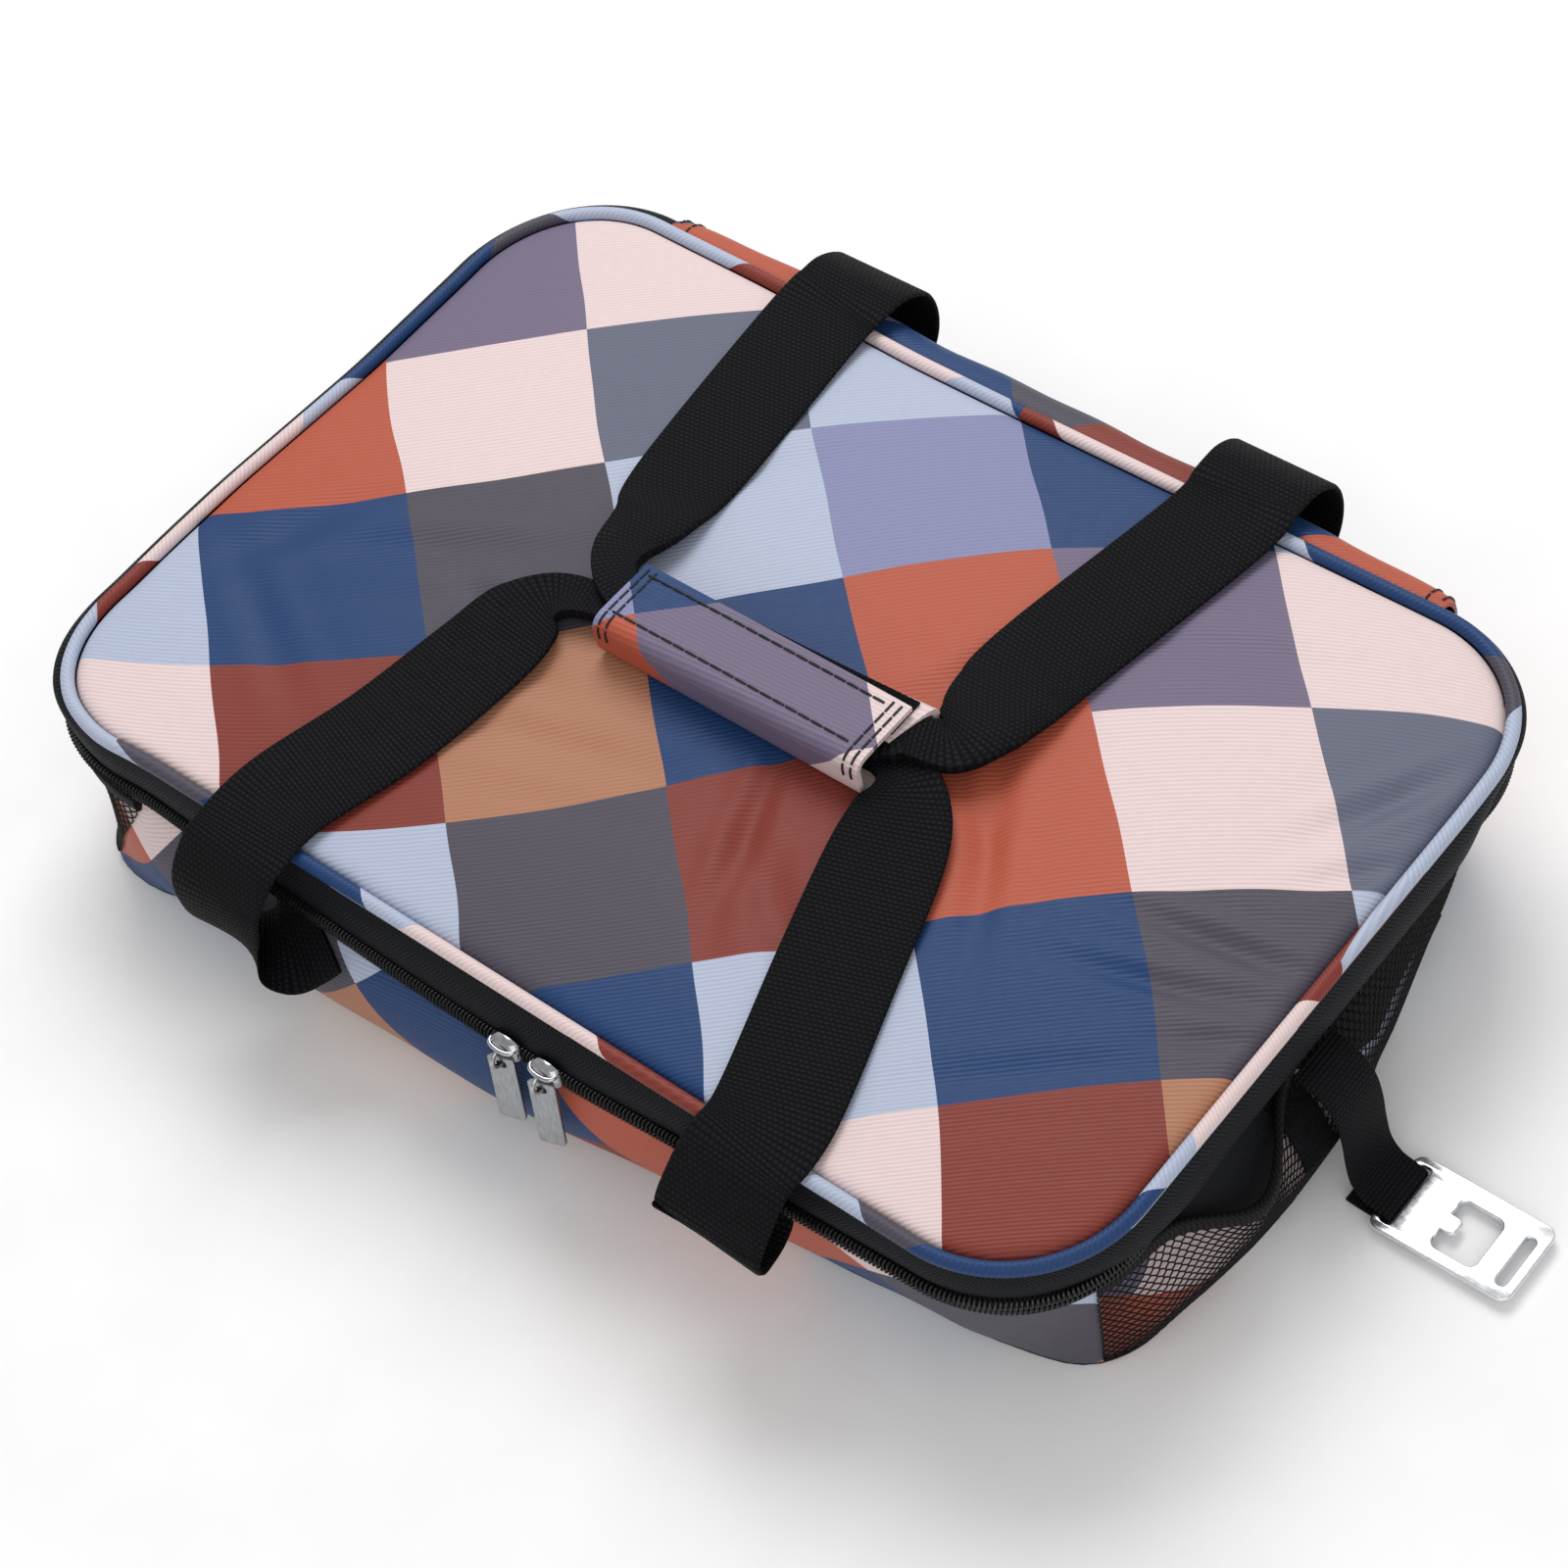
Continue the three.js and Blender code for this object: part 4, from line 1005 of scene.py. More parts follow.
@dataclass
class Body:
    """The folded body: printed wall, lining, base and the hinge roll at the back."""

    columns: int = 420
    rows: int = 26
    seam_height: float = 50.7
    seam_inset: float = 1.0
    hem_height: float = 1.2
    fabric: float = 1.4
    lining_gap: float = 2.2
    lining_thickness: float = 0.6
    lining_top: float = 53.8
    lining_low: float = 4.9
    lining_rows: int = 34
    wrinkle: float = 0.8
    wrinkle_length: float = 17.0
    wrinkle_beat: float = 41.0
    wrinkle_slant: float = 2.0
    fullness: float = 0.85
    disc_rings: int = 48
    disc_chamfer: float = 0.006
    bead_share: float = 0.94
    bead_width: float = 0.01
    base_top: float = 1.6
    blend_low: float = 8.0
    blend_high: float = 50.0
    hinge_half: float = 155.0
    hinge_columns: int = 150
    hinge_samples: int = 18
    hinge_thickness: float = 1.2
    hinge_step: float = 0.5
    # Offset and height of points on the hinge roll's section, and the offsets of the line it stands on
    hinge_path: tuple[tuple[float, float], ...] = (
        (4.2, 50.9), (8.4, 55.5), (12.2, 61.5), (12.8, 66.8), (9.6, 71.4), (4.4, 73.6), (-0.6, 73.0))
    hinge_base: tuple[float, float] = (3.4, -0.8)
    hinge_nip: float = 0.4
    hinge_nip_power: float = 0.3
    hinge_ripple: float = 0.05
    hinge_waves: tuple[float, float] = (9.0, 23.0)
    stitch: float = 2.4
    stitch_step: float = 3.4
    stitch_rows: tuple[float, float] = (2.0, 6.5)
    stitch_ends: tuple[float, float] = (7.0, 4.0)
    thread: float = 0.4
    # Offsets of the wall's foot and of its belly at half height, at distances round the bag: the soft
    # body has slumped to the front and left
    slump_at: tuple[float, ...] = (
        0, 158, 193, 229, 314, 399, 420, 435, 449, 470, 500, 577,
        607, 640, 653, 667, 680, 737, 757, 782, 814, 840, 858, 874,
        891, 907, 931, 951, 972, 983, 1004, 1026, 1062, 1100, 1254.74)
    foot: tuple[float, ...] = (
        -14, -13, -12, -10, -11, -13, -11, 5, 10, 2, 3, 0,
        -1, -3, -4, -6, -8, -11, -14, -18, -17.5, -4, -6, -2,
        0, 0, 0, -2, -6, -9, -14, -19, -19, -16, -14)
    belly: tuple[float, ...] = (
        3, 3, 1, 0, -3, -6, -6, -3, 1, 9.5, 12.2, 12.4,
        12, 9.4, 8, 5.8, 3.4, -1.6, -4, -6.6, -7, -5, 1, 5,
        6.8, 7.6, 7, 4.4, -1, -4, -9, -13, -13, -6, 3)
    slump_ease: float = 15.0
    # The wall's cuts of cloth: where each starts and ends, and the shift of its print along and up
    panels: tuple[tuple[float, float, float, float], ...] = (
        (-192.0, 838.0, 0.0, 0.0), (838.0, 1062.74, -132.0, -213.0))
    # How far the first cut's print has slipped down the wall, at distances round the bag
    slip_at: tuple[float, ...] = (425, 440, 475, 500, 600, 645, 668, 700, 745, 790, 815, 838)
    slip: tuple[float, ...] = (0, 10, 10, 1, 0, 2, 13, 13, 0, 6, 18, 19)

    def around(self, distance: Array, values: tuple[float, ...]) -> Array:
        """Returns a value given round the bag, at a distance and eased over a reach each way."""
        return OUTLINE.eased(distance, self.slump_at, values, self.slump_ease)

    def offset(self, distance: Array, height: Array) -> Array:
        """Finds the printed wall's outer face.

        It leans from the seam under the zip to the foot, plus what its belly stands proud of that
        line times a half sine of the height, and shallow wrinkles that run down the wall.

        Args:
            distance: Distance round the bag.
            height: Height over the floor.

        Returns:
            Offsets from the lid's outline.
        """
        share = np.clip((self.seam_height - height) / (self.seam_height - self.hem_height), 0, 1)
        walked = np.mod(distance, OUTLINE.around)
        seam = OUTLINE.coil(walked) - self.seam_inset
        foot = self.around(walked, self.foot)
        swell = self.around(walked, self.belly) - (seam + foot) / 2
        wave = np.sin(walked / self.wrinkle_length + self.wrinkle_slant * share)
        ripple = wave * np.sin(walked / self.wrinkle_beat)
        full = np.sin(np.pi * share) ** self.fullness
        return seam + (foot - seam) * share + (swell + self.wrinkle * ripple) * full

    def wall(self) -> Object:
        """Builds the printed wall: outer face down from the zip, inner face back up.

        Returns:
            The object.
        """
        height = np.linspace(self.seam_height, self.hem_height, self.rows)
        wall = Patchwork()
        for start, end, along, up in self.panels:
            distance = np.linspace(start, end, round(self.columns * (end - start) / OUTLINE.around))[:, None]
            offsets = folded(self.offset(distance, height), self.fabric)
            slipped = np.interp(distance, self.slip_at, self.slip) * (up == 0)
            cloth = np.stack(np.broadcast_arrays(distance + along, there_and_back(height) + up + slipped), -1)
            wall.add(OUTLINE.at(distance, offsets, folded(height)), cloth)
        return wall.build("printed_wall")

    def wall_lining(self) -> Object:
        """Builds the foil lining inside the wall, from under the zip down to the bag's floor.

        Returns:
            The object.
        """
        distance = OUTLINE.steps(self.columns // 2)[:, None]
        height = np.linspace(self.lining_top, self.lining_low, self.lining_rows)
        offsets = folded(self.offset(distance, height) - self.lining_gap, self.lining_thickness)
        return sewn("wall_foil_lining", OUTLINE.at(distance, offsets, folded(height)), ring_rows=True)

    def disc(self, name: str, inset: float, low: float, high: float, bead: float) -> Object:
        """Builds a flat panel to the bag's plan, with a raised bead near its edge.

        Args:
            name: The piece's name.
            inset: How far its edge lies inside the wall.
            low: Height of its underside.
            high: Height of its top.
            bead: Height of the bead.

        Returns:
            The object.
        """
        distance = OUTLINE.steps(self.columns // 2)
        edge = OUTLINE.at(distance, self.offset(distance, np.full_like(distance, low)) - inset, 0.0)
        share = np.linspace(0, 1, self.disc_rings)[:, None]
        ridge = bead * np.exp(-((share - self.bead_share) / self.bead_width) ** 2)
        level = np.minimum(1.0, (1 - share) / self.disc_chamfer) * (high - low) + low
        grid = two_faces(edge, share, level + ridge, low)
        return sewn(name, grid, np.concatenate([grid[..., :2], grid[:, :1, :2]], 1))

    def roll(self, distance: Array) -> tuple[Array, Array]:
        """Finds the hinge roll's section: a full curve from the wall to the piping, nipped in at its ends.

        Args:
            distance: Distance along the roll, from the middle of the back.

        Returns:
            Offsets, distances by points of the section, and the points' heights.
        """
        path = np.insert(np.array(self.hinge_path), 1, 0.0, axis=1)
        line = curve_through(path, self.hinge_samples)[:, [0, 2]]
        share = np.clip(0.5 + distance / (2 * self.hinge_half), 0, 1)
        nip = 1 - self.hinge_nip + self.hinge_nip * np.sin(np.pi * share) ** self.hinge_nip_power
        short, long = self.hinge_waves
        ripple = 1 + self.hinge_ripple * np.sin(distance / short) * np.sin(distance / long)
        base = np.linspace(*self.hinge_base, len(line))
        return base + (line[:, 0] - base) * (nip * ripple)[:, None], line[:, 1]

    def hinge(self) -> Object:
        """Builds the printed roll that joins the lid to the back.

        Returns:
            The object.
        """
        distance = np.linspace(-self.hinge_half, self.hinge_half, self.hinge_columns)
        outer, height = self.roll(distance)
        heights = folded(height, self.hinge_step)
        grid = OUTLINE.at(distance[:, None], folded(outer, self.hinge_thickness), heights)
        run = lengths(np.stack([outer[self.hinge_columns // 2], height], 1))
        return sewn("hinge_roll", capped(grid), on_cloth(doubled(distance), there_and_back(run)))

    def hinge_stitches(self) -> Object:
        """Sews two rows of thread round each end of the hinge roll.

        Returns:
            The object.
        """
        half = self.hinge_half
        near, far = self.stitch_rows
        first, last = self.stitch_ends
        rows = Patchwork()
        for distance in (-half + near, -half + far, half - far, half - near):
            outer, height = self.roll(np.array([distance]))
            run = lengths(np.stack([outer[0], height], 1))
            starts = np.arange(first, run[-1] - last, self.stitch_step)[:, None]
            place = starts + np.linspace(0, self.stitch, 5)
            offset = np.interp(place, run, outer[0]) + 0.15
            rows.add(tube(OUTLINE.at(distance, offset, np.interp(place, run, height) + 0.1), self.thread, 6))
        return rows.build("hinge_stitching")

    def build(self) -> None:
        """Builds, dresses and mounts the body's pieces."""
        wall = dress(self.wall(), WALL_PRINT)
        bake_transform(wall)
        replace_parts(wall, "front_panel", "back_panel", "left_end_panel", "right_end_panel", "rim_foam",
                    "base_wall", "lower_fold_wall", "upper_fold_wall")
        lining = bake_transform(dress(self.wall_lining(), FOIL))
        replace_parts(lining, "rim_lining")
        floor = self.disc("floor_foil_lining", 3.2, 4.8, 13.9, 0.6)
        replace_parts(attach(dress(floor, FOIL), "base"), "base_lining", "base_foam")
        under = self.disc("base_underside", 0.2, 0.0, self.base_top, 0.0)
        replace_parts(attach(dress(under, UNDERSIDE), "base"), "base_panel")
        board = self.disc("base_stiffener", 3.0, 1.9, 4.4, 0.0)
        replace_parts(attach(dress(board, BOARD), "base"), "base_board")
        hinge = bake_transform(dress(self.hinge(), HINGE_PRINT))
        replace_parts(hinge, "hinge_strip")
        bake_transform(dress(self.hinge_stitches(), THREAD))


@dataclass
class Zip:
    """The coil zip round three sides: two tapes, two coils and two sliders with pull tabs."""

    half_hinge: float = 149.0
    columns: int = 420
    pitch: float = 1.4
    turn_points: int = 10
    wire: float = 0.46
    wire_sides: int = 5
    coil_reach: float = 1.65
    coil_rise: float = 1.5
    upper_height: float = 58.35
    lower_height: float = 56.05
    tape_inset: float = 0.6
    tape_edge: float = 2.3
    tape_bulge: float = 1.3
    tape_ease: float = 8.0
    # What the tape's inner face lies behind its outer one, in the columns that tape takes
    tape_depth: tuple[float, ...] = (1.1, 0.2, 0.0, 0.0, 0.0)
    upper_edge: float = 57.3
    lower_edge: float = 57.1
    upper_foot: float = 60.0
    upper_rise: float = 13.0
    lower_top: float = 54.5
    lower_fall: float = 3.7
    slider_x: tuple[float, float] = (11.0, 27.0)
    parting: float = 57.2
    slider_face: float = -138.6
    slider_middle: float = 58.2
    plate_half: tuple[float, float] = (5.8, 4.8)
    plate_power: float = 0.8
    plate_dome: float = 0.9
    plate_rim: float = 0.7
    plate_back: float = 1.7
    lug_half: float = 4.6
    lug_reach: float = 2.6
    lug_above: float = 2.6
    lug_wire: float = 0.8
    bail_y: float = -141.2
    bail_radius: float = 3.2
    bail_wire: float = 0.75
    tab_width: float = 9.0
    tab_turn: float = 16.0
    tab_lean: float = 9.0
    tab_thickness: float = 1.3
    tab_bevel: float = 0.3
    tab_corner: float = 1.5
    tab_eye: tuple[float, float, float] = (3.2, 2.8, 1.3)
    tab_top: float = 3.0
    tab_low: float = 30.0
    # On the right end the upper tape hangs over the coil, by these shares of its overhang
    hood_at: tuple[float, ...] = (0, 835, 872, 1010, 1034, 1254.74)
    hood: tuple[float, ...] = (0, 0, 1, 1, 0, 0)
    overhang: float = 6.4
    droop: float = 2.0
    # Round the left end and the back corner the upper tape bulges out beside the piping
    flare_at: tuple[float, ...] = (0, 425, 455, 1025, 1050, 1254.74)
    flare: tuple[float, ...] = (4.6, 4.6, 0, 0, 2.4, 2.4)

    def run(self, count: int) -> Array:
        """Returns distances along the zip, from one end of the hinge round to the other."""
        return np.linspace(self.half_hinge, OUTLINE.around - self.half_hinge, count)

    def tape(self, name: str, line: Array) -> Object:
        """Carries a tape along the zip.

        Args:
            name: The piece's name.
            line: Offset, height, share of the coil's offset that is added, share of the overhang and share
                of the flare, of its outer face.

        Returns:
            The object.
        """
        distance = self.run(self.columns)
        closed = np.concatenate([line, line[::-1] - np.array(self.tape_depth)])
        hood = closed[:, 3] * OUTLINE.eased(distance, self.hood_at, self.hood, self.tape_ease)[:, None]
        flare = closed[:, 4] * OUTLINE.eased(distance, self.flare_at, self.flare, self.tape_ease)[:, None]
        offset = closed[:, 0] + closed[:, 2] * OUTLINE.coil(distance)[:, None] + self.overhang * hood + flare
        grid = OUTLINE.at(distance[:, None], offset, closed[:, 1] - self.droop * hood)
        return sewn(name, capped(grid), on_cloth(doubled(distance), there_and_back(lengths(line[:, :2]))))

    def coil(self, name: str, height: float, shift: float) -> Object:
        """Winds a nylon coil along the zip: a spring of flattened turns.

        Args:
            name: The piece's name.
            height: Height of the coil's middle.
            shift: Share of a turn by which it is moved, so that the two coils mesh.

        Returns:
            The object.
        """
        ends = self.run(2)
        turns = int((ends[1] - ends[0]) / self.pitch)
        phase = np.linspace(0, turns, turns * self.turn_points + 1)
        distance = ends[0] + (ends[1] - ends[0]) * phase / turns
        angle = 2 * math.pi * (phase + shift)
        track = OUTLINE.at(distance, OUTLINE.coil(distance) + self.coil_reach * np.cos(angle),
                           height + self.coil_rise * np.sin(angle))
        return sewn(name, tube(track, self.wire, self.wire_sides))

    def slider(self, half: Side, x: float) -> None:
        """Builds one slider: a domed oval plate on the coil, its lug, the bail and the pull tab.

        The dome is the root of one less the fourth power of the share out from the middle, and the
        rim a bell over that share.

        Args:
            half: The slider's side.
            x: Its place along the front.
        """
        side = half.name.lower()
        wide, tall = self.plate_half
        angle = np.linspace(0, 2 * math.pi, 40)
        share = np.linspace(0, 1, 12)[:, None]
        oval_x = x + share * wide * signed_power(np.cos(angle), self.plate_power)
        oval_z = self.slider_middle + share * tall * signed_power(np.sin(angle), self.plate_power)
        dome = self.slider_face + 0.1 - self.plate_dome * np.sqrt(np.clip(1 - share ** 4, 0, 1)) + 0 * oval_x
        rim = self.plate_rim * np.exp(-((share - 0.8) / 0.09) ** 2) + 0 * oval_x
        face = np.stack([oval_x, dome - rim, oval_z], -1)
        flat = np.full_like(oval_x, self.slider_face + self.plate_back)
        back = np.stack([oval_x[::-1], flat, oval_z[::-1]], -1)
        body = Patchwork()
        body.add(np.concatenate([face, back])[:, :-1])
        turn = np.linspace(0, math.pi, 24)
        lug = np.stack([
            x + self.lug_half * np.cos(turn), self.slider_face - self.lug_reach * np.sin(turn) ** 0.7,
            self.slider_middle + self.lug_above + 0 * turn], -1)
        body.add(tube(lug, self.lug_wire, 8))
        plate = dress(body.build(f"{side}_slider_plate"), PLATED)
        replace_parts(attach(plate, f"{side}_slider"), f"{side}_slider_body")

        bend = np.linspace(-0.25, math.pi + 0.25, 30)
        wire = np.stack([
            np.full_like(bend, x), self.bail_y - self.bail_radius * np.sin(bend),
            self.parting + self.bail_radius * np.cos(bend)], -1)
        ring = dress(sewn(f"{side}_slider_ring", tube(wire, self.bail_wire, 10)), PLATED)
        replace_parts(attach(ring, f"{side}_slider"), f"{side}_slider_bail")

        hung = self.parting - self.bail_radius
        top, low = self.tab_top, self.tab_low - hung
        edge = rounded_loop(self.tab_width, top - low, self.tab_corner, (0.0, (top + low) / 2))
        eye = rounded_loop(*self.tab_eye)
        # The tab leans out a little, which leaves room for the wall's bulge where the slider goes
        stand = Matrix.Rotation(math.pi / 2 - math.radians(self.tab_lean), 4, "X")
        turned = Matrix.Rotation(math.radians(self.tab_turn), 4, "Z") @ stand
        place = Matrix.Translation((x * MM, self.bail_y * MM, hung * MM)) @ turned
        tab = stamped_plate(f"{side}_pull", [edge, eye], self.tab_thickness, self.tab_bevel, place)
        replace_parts(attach(dress(tab, SATIN), f"{side}_pull"), f"{side}_pull_tab")

    def build(self) -> None:
        """Builds, dresses and mounts the zip's pieces."""
        share = np.linspace(0, 1, 13)
        zero = 0 * share
        across = -self.tape_inset + 0.4 * share + self.tape_bulge * np.sin(np.pi * share)
        height = self.upper_foot + self.upper_rise * share
        upper = np.stack([across, height, 1 - share, 1 - share, np.sin(np.pi * share ** 3)], 1)
        upper = np.concatenate([[[-self.tape_edge, self.upper_edge, 1.0, 0.0, 0.0]], upper])
        height = self.lower_top - self.lower_fall * share
        lower = np.stack([-self.tape_inset + zero, height, 1 + zero, zero, zero], 1)
        lower = np.concatenate([[[-self.tape_edge, self.lower_edge, 1.0, 0.0, 0.0]], lower])
        tape = dress(self.tape("upper_tape", upper), TAPE)
        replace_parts(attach(tape, "lid"), "upper_zip_tape")
        tape = dress(self.tape("lower_tape", lower), TAPE)
        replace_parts(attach(tape, "rim"), "lower_zip_tape")
        coil = dress(self.coil("upper_coil", self.upper_height, 0.0), COIL)
        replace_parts(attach(coil, "lid"), "upper_zip_coil")
        coil = dress(self.coil("lower_coil", self.lower_height, 0.5), COIL)
        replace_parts(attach(coil, "rim"), "lower_zip_coil")
        for half, x in zip(Side, self.slider_x):
            self.slider(half, x)


@dataclass
class Pocket:
    """A net pocket on one end of the bag, with an elastic binding at its mouth."""

    half: Side
    start: float
    end: float
    belly_at: tuple[float, ...]
    belly: tuple[float, ...]
    pile_at: float
    body: Body
    sag_at: float
    sag: float
    mouth: float
    low: float = 4.0
    clear: float = 0.6
    least_swell: float = 0.2
    closing: float = 0.97
    opening: float = 0.17
    gape: float = 0.3
    slack_width: float = 20.0
    fullness: float = 0.85
    strand_pitch: float = 1.6
    cell_rows: int = 26
    strand: float = 0.3
    hem_cord: float = 0.7
    rake: float = 0.0
    # A black sheet on the wall behind the mouth, painted shade inside the gape: its inset, lift, thickness
    # and dip
    shade_sheet_inset: float = 4.0
    shade_sheet_lift: float = 0.5
    shade_sheet_thickness: float = 0.4
    shade_sheet_dip: float = 6.0
    shade_drop_at: float = OUTLINE.around  # where the black sheet of painted shade starts to reach lower: nowhere, unless it is given
    shade_drop_width: float = 36.0
    shade_drop: float = 24.0
    binding_height: float = 6.4
    binding_thickness: float = 3.0
    pile_width: float = 14.0
    pile_low: float = 26.0
    pile_high: float = 51.0
    pile_lift: float = 1.6
    pile_thickness: float = 1.2
    pile_fuzz: float = 0.3

    @property
    def side(self) -> str:
        """The pocket's side in names."""
        return self.half.name.lower()

    def slack(self, distance: Array) -> Array:
        """Returns how slack the mouth is, from 0 to 1: a bell round its slackest place."""
        return np.exp(-((distance - self.sag_at) / self.slack_width) ** 2)

    def hem(self, distance: Array) -> Array:
        """Returns the height of the pocket's mouth, with its slack dip."""
        return self.mouth - self.sag * self.slack(distance)

    def offset(self, distance: Array, rise: Array, height: Array) -> Array:
        """Finds the net's offset: clear of the wall, fullest at half height and drawn in at the mouth.

        The wall's offset, plus what the belly stands proud of the wall times a sine that peaks at half
        height and, at the mouth, comes back to the wall unless the mouth is slack and gapes.

        Args:
            distance: Distance round the bag.
            rise: Share of the way from the net's foot to its mouth.
            height: Height over the floor.

        Returns:
            Offsets from the lid's outline.
        """
        half = np.full_like(np.asarray(distance, float), 0.5 * (self.low + self.mouth))
        belly = np.interp(distance, self.belly_at, self.belly)
        proud = belly - self.body.offset(distance, half) - self.clear
        close = self.closing - self.opening * self.slack(distance)
        gape = self.gape * self.sag * self.slack(distance) * rise ** 3
        swell = np.maximum(proud, self.least_swell) * np.sin(close * np.pi * rise ** self.fullness)
        return self.body.offset(distance, height) + self.clear + swell + gape

    def net(self) -> Object:
        """Knits the net: upright strands in zigzag, each meeting its neighbours by turns.

        Returns:
            The object.
        """
        count = int((self.end - self.start) / self.strand_pitch)
        column = np.arange(count + 1)[:, None]
        rise = np.linspace(0, 1, self.cell_rows * 4 + 1)
        wave = 2 * np.abs(np.mod(rise * self.cell_rows + column, 2) - 1) - 1
        zigzag = np.clip(1.5 * wave, -1, 1) * self.strand_pitch / 2
        distance = np.clip(self.start + column * self.strand_pitch + zigzag, self.start, self.end)
        distance = distance + self.rake * (rise - 0.5) * column / count
        height = self.low + (self.hem(distance) - self.low) * rise
        track = OUTLINE.at(distance, self.offset(distance, rise, height), height)
        net = Patchwork()
        net.add(tube(track, self.strand, 3))
        for share in (0.0, 1.0):
            along = np.linspace(self.start, self.end + self.rake * (share - 0.5), 90)
            level = self.low + (self.hem(along) - self.low) * share
            hem = OUTLINE.at(along, self.offset(along, np.full_like(along, share), level), level)
            net.add(tube(hem, self.hem_cord, 6))
        return net.build(f"{self.side}_net")

    def binding(self) -> Object:
        """Folds the elastic binding over the net's mouth: a flat rounded band along the hem.

        Returns:
            The object.
        """
        along = np.linspace(self.start, self.end + self.rake / 2, 120)
        low = self.hem(along) - 0.4
        inner = self.offset(along, np.ones_like(along), self.hem(along)) - self.binding_thickness / 2
        angle = np.linspace(0, 2 * math.pi, 17)
        flat = signed_power(np.cos(angle[:-1]), 0.6)
        tall = signed_power(np.sin(angle[:-1]), 0.4)
        offsets = inner[:, None] + self.binding_thickness / 2 * (1 + flat)
        heights = low[:, None] + self.binding_height / 2 * (1 + tall)
        grid = OUTLINE.at(along[:, None], offsets, heights)
        cloth = on_cloth(doubled(along), angle * self.binding_height / 4)
        return sewn(f"{self.side}_binding", capped(grid), cloth)

    def fastener(self) -> Object:
        """Sews a strip of loop pile down the outside of the pocket: its face is roughened by two sines.

        Returns:
            The object.
        """
        distance = self.pile_at + np.linspace(-0.5, 0.5, 14) * self.pile_width
        height = np.linspace(self.pile_low, self.pile_high, 36)[:, None]
        rise = np.clip((height - self.low) / (self.mouth - self.low), 0, 1)
        lean = np.clip((self.body.seam_height + 3 - height) / 12.0, 0, 1)
        outer = self.offset(distance, rise, height) * lean + (1 - lean) * OUTLINE.coil(distance)
        outer = outer + self.pile_lift
        fuzz = np.sin(distance * 1.9 + height * 1.3) * np.sin(distance * 1.1 - height * 1.7)
        face = OUTLINE.at(distance, outer + self.pile_fuzz * fuzz, height)
        back = OUTLINE.at(distance, outer - self.pile_thickness, height)
        return sewn(f"{self.side}_loop_pile", capped(np.concatenate([face, back[:, ::-1]], 1)))

    def shade_sheet(self) -> Object:
        """Lays a black sheet on the wall behind the mouth as painted shade in the gape: a thin band that
        follows the wall.

        Returns:
            The object.
        """
        along = np.linspace(self.start + self.shade_sheet_inset, self.end - self.shade_sheet_inset, 90)[:, None]
        # Where it reaches lower, the sheet is partly the strap's painted shadow and partly the dark of the
        # bunched net
        shade_drop = self.shade_drop * np.clip((along - self.shade_drop_at) / self.shade_drop_width, 0, 1)
        low = self.hem(along) - self.shade_sheet_dip * self.slack(along) - shade_drop
        height = low + (self.body.seam_height - low) * np.linspace(0, 1, 18)
        outer = self.body.offset(along, height) + self.shade_sheet_lift
        grid = OUTLINE.at(along, folded(outer, self.shade_sheet_thickness), folded(height))
        return sewn(f"{self.side}_mouth_facing", capped(grid))

    def build(self) -> None:
        """Builds, dresses and mounts the pocket."""
        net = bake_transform(dress(self.net(), NET))
        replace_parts(net, f"{self.side}_pocket_net")
        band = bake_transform(dress(self.binding(), BINDING))
        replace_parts(band, f"{self.side}_pocket_binding")
        # The black sheet behind the mouth is painted shade
        shade_sheet = dress(self.shade_sheet(), UNDERSIDE)
        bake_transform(shade_sheet)
        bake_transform(dress(self.fastener(), FLEECE))


@dataclass(frozen=True)
class Leg:
    """One leg of a handle: its side and end of the bag, its drop and its way over the lid."""

    side: Side
    end: End
    # Each row: how far outside the lid's edge, height over the floor, place along the bag, tilt in degrees
    drop: tuple[tuple[float, float, float, float], ...]
    # Each row: x, y, lift over the lid, turn in degrees, gathering from 0 to 1, bow
    lay: tuple[tuple[float, float, float, float, float, float], ...]


FRONT_RIGHT = Leg(Side.RIGHT, End.FRONT, (
    (3.8, 51.6, 94, 0), (7.0, 48.5, 95, -2), (13.0, 49.5, 97, -4), (19.5, 53.5, 99.5, -6),
    (22.6, 57.0, 101, -6), (21.8, 61.0, 101, -5), (15.6, 68.4, 101.5, -2), (6.6, 75.6, 102, 0)), (
    (101.5, -118, 1.1, 12, 0, 0), (86.5, -72, 0.3, 15, 0, 0), (76, -38, 1.6, 17, 0.04, 0.3),
    (70.5, -22, 3.2, 24, 0.25, 0.8), (65, -12.5, 4.4, 48, 0.65, 1), (56, -8.5, 4.6, 80, 1, 0.4),
    (40, -8, 4.6, 90, 1, 0.3)))
FRONT_LEFT = Leg(Side.LEFT, End.FRONT, (
    (3.4, 51.6, -74, 0), (8.0, 48.0, -78, 0), (13.0, 45.0, -83, 0), (18.0, 45.5, -88, 0),
    (21.5, 49.5, -92, 0), (22.5, 56.0, -95, 0), (20.5, 64.0, -97, 0),
    (14.5, 71.5, -97, 0), (7.0, 76.2, -96.5, 0)), (
    (-95.5, -116, 1.1, 13, 0, 0), (-85.5, -80, 0.4, 15, 0, 0), (-79.5, -44, 1.4, 13, 0.06, 0.4),
    (-77, -25, 2.6, 16, 0.24, 1), (-72.5, -14.5, 3.6, 50, 0.78, 1), (-60, -9.5, 4.4, 84, 1, 0.4),
    (-36, -8, 4.6, 90, 1, 0.3)))
